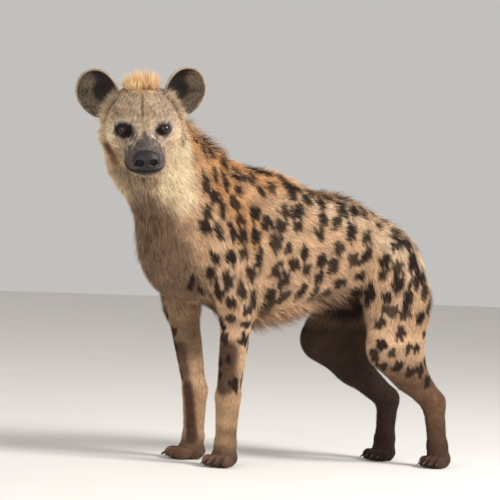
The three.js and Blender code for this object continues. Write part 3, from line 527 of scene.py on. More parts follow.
def add_limb_shape(bm, shape, matrix):
    """The hull of the two round ends of a limb."""
    corners = []
    for centre, radius, across in shape:
        local = Matrix.Translation(Vector(centre)) @ Matrix.Diagonal((across, 1, 1, 1))
        ball = bmesh.ops.create_uvsphere(bm, u_segments=16, v_segments=10, radius=radius, matrix=matrix @ local)
        corners += ball["verts"]
    hull = bmesh.ops.convex_hull(bm, input=corners)
    inside = {item for item in hull["geom_interior"] if isinstance(item, bmesh.types.BMVert)}
    bmesh.ops.delete(bm, geom=list(inside), context="VERTS")


def add_muscle_shape(bm, shape, matrix):
    centre, radii, axes = shape[0]
    local = Matrix.Translation(Vector(centre)) @ axes.to_4x4() @ Matrix.Diagonal((*radii, 1))
    bmesh.ops.create_uvsphere(bm, u_segments=20, v_segments=12, radius=1, matrix=matrix @ local)


def rough_body(masses, matrix=Matrix.Identity(4)):
    """All the given masses as overlapping closed shapes in one bmesh."""
    bm = bmesh.new()
    for mass in masses:
        part = bmesh.new()
        if len(mass.shape) == 2:
            add_limb_shape(part, mass.shape, matrix)
        else:
            add_muscle_shape(part, mass.shape, matrix)
        bmesh.ops.recalc_face_normals(part, faces=part.faces)
        scrap = mesh_from_bmesh("scrap", part)
        bm.from_mesh(scrap)
        bpy.data.meshes.remove(scrap)
    return bm


def fused(name, bm, voxel):
    """One closed surface round everything in the bmesh."""
    piece = new_object(name, mesh_from_bmesh(name, bm))
    remesh = piece.modifiers.new("fuse", "REMESH")
    remesh.mode = "VOXEL"
    remesh.voxel_size = voxel
    return baked(piece)


def outward(distance, points, here=None, step=0.001):
    """The distance at each point and the direction in which it grows."""
    here = measured(distance, points) if here is None else here
    slope = np.stack([measured(distance, points + step * axis) - here for axis in np.eye(3)], 1) / step
    return here, slope / (np.linalg.norm(slope, axis=1, keepdims=True) + 1e-9)


def settle(points, distance, rounds=2, most=0.012):
    """Moves points on to the surface where the distance is nought."""
    points = points.copy()
    for _ in range(rounds):
        here, away = outward(distance, points)
        points -= np.clip(here, -most, most)[:, None] * away
    return points


def smooth_shade(mesh):
    mesh.polygons.foreach_set("use_smooth", [True] * len(mesh.polygons))
    mesh.update()


def unwrap(piece):
    """Lays the piece out flat by the shape of its surface, in the map named OFBake."""
    piece.data.uv_layers.new(name="OFBake")
    bpy.context.view_layer.objects.active = piece
    piece.select_set(True)
    bpy.ops.object.mode_set(mode="EDIT")
    bpy.ops.mesh.select_all(action="SELECT")
    bpy.ops.uv.smart_project(angle_limit=math.radians(66), island_margin=0.002)
    bpy.ops.object.mode_set(mode="OBJECT")
    piece.select_set(False)


def relax(mesh, amount=0.5, rounds=2):
    bm = bmesh.new()
    bm.from_mesh(mesh)
    for _ in range(rounds):
        bmesh.ops.smooth_vert(bm, verts=bm.verts, factor=amount, use_axis_x=True, use_axis_y=True, use_axis_z=True)
    bm.to_mesh(mesh)
    bm.free()


# The skin

FLESH_NODES = ["head", "neck", "torso", "abdomen", "rump", "tail"]
for side_name in ("left", "right"):
    FLESH_NODES += [
        f"{side_name}_{part}" for part in ("ear", "forearm", "forefoot", "forepaw", "thigh", "shank", "hindfoot", "hindpaw")
    ]

HEAD_MATRIX = Matrix.Translation(place(*EYE_LINE_AT)) @ Matrix((HEAD_LEFT, HEAD_FORWARD, HEAD_UP)).transposed().to_4x4()
MOUTH_CORNER = (60, 34, -52)
MOUTH_BEND = (64, 92, -78)
MOUTH_FRONT = (0, 122, -102)
GROOVE = 2.4 * MM

# The nose pad, and the slits of the lids
NOSE_AT = (0, 106, -51)
NOSE_RADII = (33, 22, 23)
EYE_SLIT_HALF_LENGTH = 16
EYE_SLIT_HALF_HEIGHT = 11.5
EYE_TURN_OUT = 0.42
EYE_RISE = 0.1
EYE_BED = 13.6 * MM


def mouth_line():
    """Points along the line of the lips, on the surface of the skull, in the head's axes."""
    corner, bend, front = (np.array(head_place(*p)) for p in (MOUTH_CORNER, MOUTH_BEND, MOUTH_FRONT))
    t = np.linspace(0, 1, 26)[:, None]
    curve = (1 - t) ** 2 * corner + 2 * t * (1 - t) * bend + t * t * front
    return settle(curve, skull_distance, rounds=12, most=0.03)


MOUTH_LINE = mouth_line()


def from_line(points, line):
    """Distance from points to a line of many short stretches."""
    nearest = np.full(len(points), 1.0)
    for a, b in zip(line[:-1], line[1:]):
        along = b - a
        share = np.clip(((points - a) @ along) / (along @ along), 0, 1)
        nearest = np.minimum(nearest, np.linalg.norm(points - a - share[:, None] * along, axis=1))
    return nearest


def eye_frame(side):
    """The middle of one eye and its axes to the outer corner, upward and outward, in the head's axes."""
    front = Vector((side * math.sin(EYE_TURN_OUT), math.cos(EYE_TURN_OUT), 0))
    upward = Quaternion(front, -side * EYE_RISE) @ Vector((0, 0, 1))
    outer = front.cross(upward) * side
    return Vector((side * EYE_SPACING, EYE_FORWARD, EYE_UP)) * MM, outer, upward, front


def eye_opening(local, side):
    """The distance to the almond that the lids leave open, below zero inside it, in the head's axes."""
    middle, outer, upward, front = eye_frame(side)
    offset = local - np.array(middle)
    u = offset @ np.array(outer)
    v = offset @ np.array(upward)
    half_length, half_height = EYE_SLIT_HALF_LENGTH * MM, EYE_SLIT_HALF_HEIGHT * MM
    arc = (half_length ** 2 + half_height ** 2) / (2 * half_height)
    almond = np.hypot(u, np.abs(v) + arc - half_height) - arc
    return np.maximum(almond, -(offset @ np.array(front)))


def region_shares(points):
    """How much of the head, the legs and the feet is at each point, from nought to one."""
    head = head_distance(points)
    legs = np.min([distance(points) for distance in leg_distances.values()], axis=0)
    trunk = np.minimum(trunk_distance(points), neck_distance(points))
    height = points[:, 2] / MM
    return {
        "head": smooth_step(0.5 + (trunk - head) / (50 * MM)) * (head < FAR / 2),
        "leg": smooth_step((0.56 * WITHERS_HEIGHT - height) / 90) * (legs < trunk + 0.03),
        "foot": smooth_step((95 - height) / 40),
    }


def fur_depth(points):
    """How far the skin lies under the solids' surface."""
    shares = region_shares(points)
    depth = 7 * MM * (1 - smooth_step(coat_depth(points) / (8 * MM)))
    depth = depth + (3 * MM - depth) * shares["leg"]
    depth = depth + (1.2 * MM - depth) * shares["foot"]
    return depth + (2 * MM - depth) * shares["head"]


def skin_distance(points):
    return body_distance(points) + fur_depth(points)


def carved_skin_distance(points):
    """The skin with the line of the mouth and the openings of the lids cut in."""
    outside = skin_distance(points)
    local = to_head(points)
    for side in (1, -1):
        middle, *_ = eye_frame(side)
        from_eye = np.linalg.norm(local - np.array(middle), axis=1)
        close = from_eye < 40 * MM
        hollow = soft_max(eye_opening(local[close], side), EYE_BED - from_eye[close], 1 * MM)
        outside[close] = soft_max(outside[close], -hollow, 1.2 * MM)
    near = np.linalg.norm(local - np.array(head_place(0, 60, -80)), axis=1) < 0.11
    side = local[near]
    side[:, 0] = np.abs(side[:, 0])
    outside[near] = soft_max(outside[near], GROOVE - from_line(side, MOUTH_LINE), 1.5 * MM)
    low = points[:, 2] < 60 * MM
    outside[low] = soft_max(outside[low], TOE_GROOVE - from_toe_gaps(points[low]), 3 * MM)
    return outside


def subdivide_where(mesh, chosen):
    """Halves the edges of the faces whose middle the given test picks."""
    bm = bmesh.new()
    bm.from_mesh(mesh)
    middles = np.array([face.calc_center_median() for face in bm.faces])
    picked = chosen(middles)
    bm.faces.ensure_lookup_table()
    edges = {edge for index in np.flatnonzero(picked) for edge in bm.faces[index].edges}
    bmesh.ops.subdivide_edges(bm, edges=list(edges), cuts=1, use_grid_fill=True)
    bmesh.ops.triangulate(bm, faces=[face for face in bm.faces if len(face.verts) > 4])
    bm.to_mesh(mesh)
    bm.free()


def on_face_or_paws(middles):
    shares = region_shares(middles)
    return (shares["head"] > 0.5) | (shares["foot"] > 0.4)


def on_muzzle_or_eyes(middles):
    local = to_head(middles) / MM
    muzzle = (local[:, 1] > 20) & (local[:, 2] < -20)
    eyes = np.hypot(np.abs(local[:, 0]) - EYE_SPACING, local[:, 2] - EYE_UP) < 26
    on_face = (muzzle | (eyes & (local[:, 1] > -8))) & (np.abs(local[:, 0]) < 90)
    return on_face | ((middles[:, 2] < 50 * MM) & (from_toe_gaps(middles) < 12 * MM))


EAR_LENGTH = 138
EAR_WIDTH = 118
EAR_WALL = 4.5
EAR_DEPTH = 44


def ear_frame(side):
    tipward = head_offset(side * 0.26, -0.14, 0.95).normalized()
    facing = head_offset(side * 0.3, 0.93, 0).normalized()
    facing = (facing - tipward * facing.dot(tipward)).normalized()
    outward = tipward.cross(facing) * side
    return on_head(side * 117, -92, 73), outward, tipward, facing


def ear_point(side, across, up):
    """A point of the cup's back: across from 0 at one rim to 1 at the other, up from 0 to 1."""
    middle, outward, tipward, facing = ear_frame(side)
    turn = math.pi * (0.1 + 0.87 * up)
    height = -math.cos(turn) * EAR_LENGTH / 2
    swell = math.sin(turn) ** 0.9
    narrow = 1 - 0.1 * max(0, math.cos(turn))
    half_width = EAR_WIDTH / 2 * swell * narrow
    depth = EAR_DEPTH * swell ** 1.2 * (1 - 0.25 * up)
    sway = -10 * max(0, math.cos(turn))
    angle = math.pi * across
    offset = outward * (sway + half_width * math.cos(angle)) + tipward * height - facing * depth * math.sin(angle)
    return middle + offset * MM


def ear_shell(side):
    """The cup of one ear, from a grid bent into a spoon and given its thickness."""
    bm = bmesh.new()
    bmesh.ops.create_grid(bm, x_segments=24, y_segments=30, size=0.5)
    for vert in bm.verts:
        vert.co = ear_point(side, vert.co.x + 0.5, vert.co.y + 0.5)
    bmesh.ops.recalc_face_normals(bm, faces=bm.faces)
    middle, outward, tipward, facing = ear_frame(side)
    bm.faces.ensure_lookup_table()
    centre_face = min(bm.faces, key=lambda face: (face.calc_center_median() - ear_point(side, 0.5, 0.5)).length)
    if centre_face.normal.dot(facing) < 0:
        bmesh.ops.reverse_faces(bm, faces=bm.faces)
    bmesh.ops.solidify(bm, geom=bm.faces[:], thickness=-EAR_WALL * MM)
    bmesh.ops.recalc_face_normals(bm, faces=bm.faces)
    return new_object("ear_shell", mesh_from_bmesh("ear_shell", bm))


def join_by_union(body, other):
    union = body.modifiers.new("union", "BOOLEAN")
    union.operation = "UNION"
    union.solver = "EXACT"
    union.object = other
    baked(body)
    bpy.data.objects.remove(other)


def build_skin():
    bm = rough_body(TRUNK + NECK + TAIL + sum(LEGS.values(), []))
    head = rough_body(SKULL, HEAD_MATRIX)
    head_mesh = mesh_from_bmesh("head", head)
    bm.from_mesh(head_mesh)
    bpy.data.meshes.remove(head_mesh)
    skin = fused("skin", bm, 6.6 * MM)
    set_vertices(skin.data, settle(vertex_array(skin.data), skin_distance, rounds=3))
    relax(skin.data)
    subdivide_where(skin.data, on_face_or_paws)
    set_vertices(skin.data, settle(vertex_array(skin.data), skin_distance))
    subdivide_where(skin.data, on_muzzle_or_eyes)
    set_vertices(skin.data, settle(vertex_array(skin.data), carved_skin_distance))
    for side in (1, -1):
        join_by_union(skin, ear_shell(side))
    smooth_shade(skin.data)
    unwrap(skin)
    return skin


# Finishes

def new_finish(name):
    """A new material: its node tree and its shader."""
    material = bpy.data.materials.new(name)
    material.use_nodes = True
    return material, material.node_tree, material.node_tree.nodes["Principled BSDF"]


def add_node(tree, kind, settings=(), **inputs):
    """A node with its settings, and its inputs given as values or as sockets to link from."""
    node = tree.nodes.new(kind)
    for key, value in dict(settings).items():
        setattr(node, key, value)
    for key, value in inputs.items():
        socket = node.inputs[key.replace("_", " ")]
        if isinstance(value, bpy.types.NodeSocket):
            tree.links.new(value, socket)
        else:
            socket.default_value = value
    return node


def mixed(tree, share, first, second, blend="MIX"):
    """The socket of a colour mix; each input is a colour or a socket."""
    node = tree.nodes.new("ShaderNodeMix")
    node.data_type = "RGBA"
    node.blend_type = blend
    for socket, value in ((node.inputs[0], share), (node.inputs[6], first), (node.inputs[7], second)):
        if isinstance(value, bpy.types.NodeSocket):
            tree.links.new(value, socket)
        else:
            socket.default_value = value if isinstance(value, (int, float)) else (*value, 1)[:4]
    return node.outputs[2]


def noise(tree, scale, detail=3, roughness=0.6, vector=None):
    """The socket of a noise on the piece's own coordinates."""
    if vector is None:
        vector = add_node(tree, "ShaderNodeTexCoord").outputs["Object"]
    node = add_node(tree, "ShaderNodeTexNoise", Vector=vector, Scale=scale, Detail=detail, Roughness=roughness)
    return node.outputs["Fac"]


def bumped(tree, shader, height, distance, strength=1.0):
    bump = add_node(tree, "ShaderNodeBump", Height=height, Distance=distance, Strength=strength)
    tree.links.new(bump.outputs["Normal"], shader.inputs["Normal"])


def fur_finish(name, roughness=0.72, streak=2600, depth=0.0006):
    """Colour from the coat's markings, with fine streaks that run along the lie of the hair."""
    material, tree, shader = new_finish(name)
    markings = add_node(tree, "ShaderNodeAttribute", {"attribute_name": "coat_colour"})
    lie = add_node(tree, "ShaderNodeAttribute", {"attribute_name": "lie"})
    where = add_node(tree, "ShaderNodeTexCoord").outputs["Object"]
    along = add_node(tree, "ShaderNodeVectorMath", {"operation": "DOT_PRODUCT"})
    tree.links.new(where, along.inputs[0])
    tree.links.new(lie.outputs["Vector"], along.inputs[1])
    drawn_out = add_node(tree, "ShaderNodeVectorMath", {"operation": "SCALE"}, Scale=along.outputs["Value"])
    tree.links.new(lie.outputs["Vector"], drawn_out.inputs[0])
    nearer = add_node(tree, "ShaderNodeVectorMath", {"operation": "SCALE"}, Scale=0.88)
    tree.links.new(drawn_out.outputs["Vector"], nearer.inputs[0])
    flowing = add_node(tree, "ShaderNodeVectorMath", {"operation": "SUBTRACT"})
    tree.links.new(where, flowing.inputs[0])
    tree.links.new(nearer.outputs["Vector"], flowing.inputs[1])
    hairs = noise(tree, streak, 2, 0.6, flowing.outputs["Vector"])
    clumps = noise(tree, streak / 7, 2, 0.5, flowing.outputs["Vector"])
    light = add_node(tree, "ShaderNodeMapRange", Value=hairs, To_Min=0.55, To_Max=1.5)
    patchy = add_node(tree, "ShaderNodeMapRange", Value=clumps, To_Min=0.75, To_Max=1.25)
    both = add_node(tree, "ShaderNodeMath", {"operation": "MULTIPLY"})
    tree.links.new(light.outputs["Result"], both.inputs[0])
    tree.links.new(patchy.outputs["Result"], both.inputs[1])
    shaded = add_node(tree, "ShaderNodeVectorMath", {"operation": "SCALE"}, Scale=both.outputs["Value"])
    tree.links.new(markings.outputs["Color"], shaded.inputs[0])
    tree.links.new(shaded.outputs["Vector"], shader.inputs["Base Color"])
    shader.inputs["Roughness"].default_value = roughness
    shader.inputs["Sheen Weight"].default_value = 0.04
    shader.inputs["Sheen Roughness"].default_value = 0.5
    shader.inputs["Specular IOR Level"].default_value = 0.15
    bumped(tree, shader, hairs, depth, 0.8)
    return material


def eye_finish(dark, iris):
    """A dark eye: pupil, iris and rim by distance from the middle of the front, under a clear wet coat."""
    material, tree, shader = new_finish("dark_eye")
    ring = add_node(tree, "ShaderNodeAttribute", {"attribute_name": "ring"})
    grain = noise(tree, 900, 2)
    ramp = add_node(tree, "ShaderNodeValToRGB", Fac=ring.outputs["Fac"])
    ramp.color_ramp.elements[0].position = 0.3
    ramp.color_ramp.elements[0].color = (0.004, 0.003, 0.003, 1)
    ramp.color_ramp.elements[1].position = 0.42
    ramp.color_ramp.elements[1].color = (*iris, 1)
    edge = ramp.color_ramp.elements.new(0.8)
    edge.color = (*dark, 1)
    speckled = mixed(tree, 0.25, ramp.outputs["Color"], grain, "MULTIPLY")
    tree.links.new(speckled, shader.inputs["Base Color"])
    shader.inputs["Roughness"].default_value = 0.12
    shader.inputs["Specular IOR Level"].default_value = 0.2
    shader.inputs["Coat Weight"].default_value = 0.35
    shader.inputs["Coat Roughness"].default_value = 0.03
    return material


def leather_finish(name, colour, roughness=0.42):
    """Bare pebbled skin, with painted shade darkening its hollows."""
    material, tree, shader = new_finish(name)
    where = add_node(tree, "ShaderNodeTexCoord").outputs["Object"]
    cells = add_node(tree, "ShaderNodeTexVoronoi", Vector=where, Scale=620)
    hollow = add_node(tree, "ShaderNodeAttribute", {"attribute_name": "hollow"})
    paler = tuple(min(1, 2 * c) for c in colour)
    blotched = mixed(tree, noise(tree, 240, 3), tuple(colour), paler)
    # painted shade: the nostrils, the slots beside them and the groove go down towards a tenth of the leather's colour
    darkened = mixed(tree, hollow.outputs["Fac"], blotched, tuple(0.1 * c for c in colour))
    tree.links.new(darkened, shader.inputs["Base Color"])
    shader.inputs["Roughness"].default_value = roughness
    shader.inputs["Specular IOR Level"].default_value = 0.32
    bumped(tree, shader, cells.outputs["Distance"], 0.0006, 0.7)
    return material


# Eyes

def horn_finish(name, colour):
    """Smooth dark horn with streaks along it, as on claws."""
    material, tree, shader = new_finish(name)
    paler = tuple(min(1, 3 * c) for c in colour)
    tree.links.new(mixed(tree, noise(tree, 420, 4), tuple(colour), paler), shader.inputs["Base Color"])
    shader.inputs["Roughness"].default_value = 0.35
    bumped(tree, shader, noise(tree, 900, 2), 0.0002, 0.5)
    return material


def build_eye(side):
    middle, outer, upward, front = eye_frame(side)
    bm = bmesh.new()
    bmesh.ops.create_uvsphere(bm, u_segments=32, v_segments=24, radius=EYE_RADIUS * MM)
    cornea = [vert for vert in bm.verts if vert.co.z > 0.5 * EYE_RADIUS * MM]
    for vert in cornea:
        bulge = smooth_step(vert.co.z / (EYE_RADIUS * MM) * 2 - 1)
        vert.co.z += 1.2 * MM * float(bulge)
    turn = Matrix((outer, upward * side, front)).transposed().to_4x4()
    place_in_head = HEAD_MATRIX @ Matrix.Translation(middle) @ turn
    rings = [math.hypot(vert.co.x, vert.co.y) / (EYE_RADIUS * MM) if vert.co.z > 0 else 1 for vert in bm.verts]
    bmesh.ops.transform(bm, matrix=place_in_head, verts=bm.verts)
    bmesh.ops.recalc_face_normals(bm, faces=bm.faces)
    name = "left_eyeball" if side > 0 else "right_eyeball"
    piece = new_object(name, mesh_from_bmesh(name, bm))
    set_attribute(piece.data, "ring", "FLOAT", np.array(rings))
    smooth_shade(piece.data)
    return piece


# Nose and claws

NOSTRIL_AT = (17, -54)
NOSTRIL_SIZE = (10.5, 9.5)
NOSTRIL_DEPTH = 11
SLOT_AT = (27, -60)
SLOT_SIZE = (8, 3.2)
SLOT_DEPTH = 7


def pressed_in(x, z, at, size):
    """How far inside an oval of the pad's front a place lies, from nought at its edge to one."""
    away = np.hypot((np.abs(x) - at[0]) / size[0], (z - at[1]) / size[1])
    return smooth_step((1.2 - away) / 0.65)


def build_nose():
    """A broad pebbled pad with two deep nostrils, the slots at their sides and a groove between."""
    bm = bmesh.new()
    bmesh.ops.create_uvsphere(bm, u_segments=64, v_segments=44, radius=1)
    size = Matrix.Diagonal((NOSE_RADII[0] + 4, NOSE_RADII[1] + 2, NOSE_RADII[2] + 3, 1))
    bmesh.ops.transform(bm, matrix=Matrix.Translation(NOSE_AT) @ size, verts=bm.verts)
    front = [edge for edge in bm.edges if min(vert.co.y for vert in edge.verts) > NOSE_AT[1] + 4]
    bmesh.ops.subdivide_edges(bm, edges=front, cuts=1, use_grid_fill=True)
    places = np.array([vert.co[:] for vert in bm.verts])
    x, y, z = places.T
    facing = smooth_step((y - NOSE_AT[1]) / 10)
    nostril = facing * pressed_in(x, z, NOSTRIL_AT, NOSTRIL_SIZE)
    slot = facing * pressed_in(x, z, SLOT_AT, SLOT_SIZE)
    groove = facing * np.exp(-(x / 1.6) ** 2) * smooth_step((-42 - z) / 10)
    wing = facing * np.exp(-((np.abs(x) - NOSTRIL_AT[0]) / 13) ** 2 - ((z - NOSTRIL_AT[1] - 9) / 6) ** 2)
    y = y - NOSTRIL_DEPTH * nostril - SLOT_DEPTH * slot * (1 - nostril) - 2.4 * groove + 2 * wing
    for vert, forward in zip(bm.verts, y):
        vert.co.y = forward
    # how much painted shade darkens the nostrils, the slots and the groove
    hollow = np.clip(np.maximum.reduce([1.2 * nostril, 1.1 * slot, 0.7 * groove]), 0, 1)
    bmesh.ops.transform(bm, matrix=HEAD_MATRIX @ Matrix.Scale(MM, 4), verts=bm.verts)
    bmesh.ops.recalc_face_normals(bm, faces=bm.faces)
    piece = new_object("nose_pad", mesh_from_bmesh("nose_pad", bm))
    set_attribute(piece.data, "hollow", "FLOAT", hollow)
    smooth_shade(piece.data)
    return piece


CLAW_LENGTH = 19
CLAW_RADIUS = 4.2


def add_claw(bm, root, heading):
    """A blunt tapering claw, bent down towards its tip; heading is its turn about the Z axis."""
    claw = bmesh.new()
    bmesh.ops.create_cone(
        claw, cap_ends=True, segments=10, radius1=CLAW_RADIUS * MM, radius2=0.9 * MM, depth=CLAW_LENGTH * MM,
    )
    bmesh.ops.translate(claw, vec=(0, 0, 0.3 * CLAW_LENGTH * MM), verts=claw.verts)
    for share in (0.25, 0.5, 0.75):
        everything = claw.verts[:] + claw.edges[:] + claw.faces[:]
        level = (share - 0.2) * CLAW_LENGTH * MM
        bmesh.ops.bisect_plane(claw, geom=everything, plane_co=(0, 0, level), plane_no=(0, 0, 1))
    for vert in claw.verts:
        along = vert.co.z / (CLAW_LENGTH * MM)
        vert.co.x *= 0.72
        vert.co.y -= 5 * MM * along * along
    forward = Vector((math.sin(heading), -math.cos(heading), -0.32)).normalized()
    upward = (Vector((0, 0, 1)) - forward * forward.z).normalized()
    axes = Matrix((upward.cross(forward), upward, forward)).transposed().to_4x4()
    bmesh.ops.transform(claw, matrix=Matrix.Translation(root) @ axes, verts=claw.verts)
    bmesh.ops.recalc_face_normals(claw, faces=claw.faces)
    scrap = mesh_from_bmesh("scrap", claw)
    bm.from_mesh(scrap)
    bpy.data.meshes.remove(scrap)


def build_claws(name, joints, kind):
    length, width = PAW_SIZES[kind]
    bm = bmesh.new()
    for toe in range(TOES):
        spread = toe / (TOES - 1) - 0.5
        reach = 0.14 + 0.3 * (1 - 0.9 * spread * spread) + 0.22
        root = on_paw(joints, kind, spread * 0.74 * width, reach * length, -10)
        add_claw(bm, root, math.radians(joints["toes_turn"]) + 0.4 * spread)
    piece = new_object(name, mesh_from_bmesh(name, bm))
    smooth_shade(piece.data)
    return piece


# Markings, with some painted light and shade, worked out at any point of the skin from named colours and soft zones

def drawn_place(points):
    """Millimetres from between the forefeet, for zones that are named in those terms."""
    return (points + np.array(SHIFT)) / MM


def bar_share(at, start, end, radius, soft=40):
    """One inside a round-ended bar, nought outside it, with a soft edge; all in millimetres."""
    a = np.array(start, float)
    along = np.array(end, float) - a
    share = np.clip((at - a) @ along / max(along @ along, 1), 0, 1)
    away = np.linalg.norm(at - a - share[:, None] * along, axis=1)
    return smooth_step(0.5 - (away - radius) / soft)


def ripple(points, wavelength, seed):
    """A smooth random value from about minus one to one, from a few crossing waves."""
    random = np.random.default_rng(seed)
    total = np.zeros(len(points))
    waves = 7
    for _ in range(waves):
        direction = random.normal(size=3)
        direction /= np.linalg.norm(direction)
        stretch = wavelength * random.uniform(0.7, 1.4)
        total += np.sin(points @ direction * (2 * math.pi / stretch) + random.uniform(0, 2 * math.pi))
    return total / math.sqrt(waves / 2) * 0.7


def tinted(base, share, colour):
    share = np.clip(share, 0, 1)[:, None]
    return base * (1 - share) + np.array(colour)[None, :] * share


def ear_local(points, side):
    """Places on one ear: outward, tipward and facing, in millimetres from its middle."""
    middle, outward_way, tipward, facing = ear_frame(side)
    axes = np.array([outward_way, tipward, facing])
    return (points - np.array(middle)) @ axes.T / MM


def on_ear(points):
    """Which points belong to an ear that stands clear of the head."""
    found = np.zeros(len(points), bool)
    clear = head_distance(points) > 0.004
    for side in (1, -1):
        local = ear_local(points, side)
        inside = (np.abs(local[:, 0]) < 70) & (np.abs(local[:, 1]) < 78) & (local[:, 2] > -56) & (local[:, 2] < 14)
        found |= inside & clear
    return found


TRUNK_TINTS = [
    ("nape", (30, -200, 905), (0, 60, 790), 105, 90),
    ("nape", (0, 60, 760), (0, 250, 720), 70, 90),
    ("nape", (110, -60, 760), (120, 10, 640), 50, 90),
    # the pale rump: partly the coat's own colour, partly a painted highlight along the top and rear edge of the rump
    ("rump", (90, 240, 735), (110, 400, 680), 34, 50),
    ("rump", (-90, 240, 735), (-110, 400, 680), 34, 50),
    ("rump", (100, 470, 640), (120, 570, 540), 50, 60),
    ("rump", (-100, 470, 640), (-120, 570, 540), 50, 60),
    # the throat's grey buff: partly the coat's own colour, partly painted shade
    ("throat", (50, -300, 730), (10, -225, 590), 84, 70),
    # the creamy neck: partly the coat's own colour, partly a painted highlight where light catches the side of the neck
    ("neck", (128, -225, 850), (118, -195, 715), 56, 34),
    ("neck", (10, -345, 860), (0, -300, 720), 30, 40),
    ("cheek_patch", (38, -386, 852), (50, -362, 802), 15, 22),
    # the chest's dark brown: partly the coat's own colour, partly painted shade on the chest
    ("chest_and_shade", (40, -240, 630), (60, -160, 450), 88, 60),
    ("chest_and_shade", (-60, -200, 600), (-60, -140, 470), 80, 80),
    # the belly's dark underside: partly the coat's own colour, partly painted shade under the body
    ("belly", (0, 0, 410), (0, 260, 425), 60, 60),
    # the dark groin: partly bare dark skin, partly painted shade between the hind legs
    ("groin_and_shade", (-20, 330, 470), (-10, 430, 440), 74, 60),
]


def trunk_ground(at, coat):
    colour = np.tile(np.array(coat.buff), (len(at), 1))
    for name, start, end, radius, soft in TRUNK_TINTS:
        colour = tinted(colour, bar_share(at, start, end, radius, soft), getattr(coat, name))
    return colour


# Dark bars on the forelegs: start, end, radius, softness and strength
FORELEG_BARS = [
    ((116, -26, 312), (112, -26, 225), 33, 24, 0.92),
    ((96, 10, 60), (104, 6, 90), 20, 20, 0.6),
    ((-92, -60, 300), (-84, -52, 230), 22, 22, 0.8),
    ((-74, -44, 200), (-62, -24, 62), 18, 16, 0.95),
    ((-84, -84, 480), (-84, -64, 330), 60, 60, 0.68),
]


def leg_ground(at, colour, coat):
    height = at[:, 2]
    hind = smooth_step((at[:, 1] - 230) / 40)
    fore = 1 - hind
    # painted shade: the inner sides of the hind legs below the groin, reaching over the whole far right hind leg, go
    # towards the groin's near black
    inner = smooth_step((np.where(at[:, 0] < 0, 132, 98) - np.abs(at[:, 0])) / 20)
    colour = tinted(colour, 0.9 * smooth_step((350 - height) / 110) * hind, coat.shank)
    colour = tinted(colour, smooth_step((150 - height) / 110) * hind, coat.foot)
    colour = tinted(colour, 0.95 * inner * hind * smooth_step((480 - height) / 60), coat.groin_and_shade)
    colour = tinted(colour, 0.6 * smooth_step((230 - height) / 60) * fore, coat.foreleg)
    for start, end, radius, soft, share in FORELEG_BARS:
        colour = tinted(colour, share * fore * bar_share(at, start, end, radius, soft), coat.shin)
    return tinted(colour, 0.85 * smooth_step((84 - height) / 50) * fore, coat.foot)


def head_ground(points, coat):
    """The face: in millimetres across, forward and up from the middle of the eye line."""
    local = to_head(points) / MM
    x, y, z = local.T
    across = np.abs(x)
    colour = np.tile(np.array(coat.forehead), (len(points), 1))
    crown = smooth_step((z - 84) / 16) * smooth_step((60 - across) / 24)
    colour = tinted(colour, crown, coat.crown)
    side = smooth_step((across - 62) / 30) * smooth_step((40 - z) / 40)
    colour = tinted(colour, 0.85 * side, coat.cheek)
    patch = bar_share(np.stack([across, y, z], 1), (90, -28, -54), (80, -32, -90), 19, 20)
    colour = tinted(colour, 0.95 * patch * np.where(x < 0, 1, 0.7), coat.cheek_patch)
    ring = np.hypot(across - EYE_SPACING, (z - EYE_UP) * 1.1)
    pale = smooth_step((40 - ring) / 12) * smooth_step((y + 30) / 20)
    colour = tinted(colour, 0.5 * pale, coat.eye_ring)
    stripe = smooth_step((3 + 0.07 * np.maximum(z - 30, 0) - np.abs(x + 2)) / 4)
    stripe *= smooth_step((z - 34) / 14) * smooth_step((92 - z) / 12)
    colour = tinted(colour, 0.75 * stripe, coat.stripe)
    streak = bar_share(local, (14, 2, 66), (26, 12, 50), 2.5, 5)
    colour = tinted(colour, 0.6 * streak, coat.stripe)
    fans = smooth_step(ripple(np.stack([np.arctan2(x, 150 - z), z * 0, z * 0], 1), 0.05, 12) - 0.1)
    colour = tinted(colour, 0.25 * fans * smooth_step((z - 24) / 20), coat.stripe)
    ragged = 7 * ripple(points, 0.018, 31) + 4 * ripple(points, 0.007, 32)
    bridge = smooth_step((14 + 0.95 * (10 - z) - across + ragged) / 20) * smooth_step((y - 26) / 18)
    bridge *= smooth_step((24 - z) / 22)
    muzzle = smooth_step((y - 50 + 0.25 * (z + 60) + ragged) / 26) * smooth_step((-24 - z) / 24)
    colour = tinted(colour, 0.92 * np.maximum(bridge, muzzle), coat.muzzle)
    lips = smooth_step((12 - from_line(np.stack([across, y, z], 1) * MM, MOUTH_LINE) / MM) / 9)
    lips *= smooth_step((y - np.where(x < 0, 58, 84)) / 16)
    colour = tinted(colour, lips, coat.lip)
    # under the jaw the throat's grey buff, partly painted shade under the head
    under = smooth_step((-97 - z + 0.35 * np.maximum(across - 10, 0)) / 6)
    colour = tinted(colour, 0.9 * under, coat.throat)
    mirrored = np.stack([across, y, z], 1)
    trough = bar_share(mirrored, (36, 26, 2), (27, 46, -22), 7, 14)
    colour = tinted(colour, 0.7 * trough, coat.muzzle)
    brow = bar_share(mirrored, (40, 22, 16), (64, 10, 20), 4, 12)
    colour = tinted(colour, 0.55 * brow, coat.muzzle)
    rim = np.hypot((across - EYE_SPACING) / 1.3, z - EYE_UP)
    near = smooth_step((y + 8) / 8)
    # painted shade: on the shaded right side (x below nought) the dark rim and the black lid line round the eye reach 4
    # mm further out
    painted_shade_reach = np.where(x < 0, 4, 0)
    corner = bar_share(mirrored, (34, 24, -4), (26, 40, -20), 3, 10)
    colour = tinted(colour, 0.8 * corner, coat.muzzle)
    colour = tinted(colour, 0.85 * near * smooth_step((25 + painted_shade_reach + 0.3 * ragged - rim) / 11), coat.muzzle)
    colour = tinted(colour, near * smooth_step((17.5 + painted_shade_reach + 0.2 * ragged - rim) / 6), coat.lip)
    grizzle = 1 + 0.2 * ripple(points, 0.013, 33) + 0.14 * ripple(points, 0.005, 34)
    return np.clip(colour * grizzle[:, None], 0, 1)


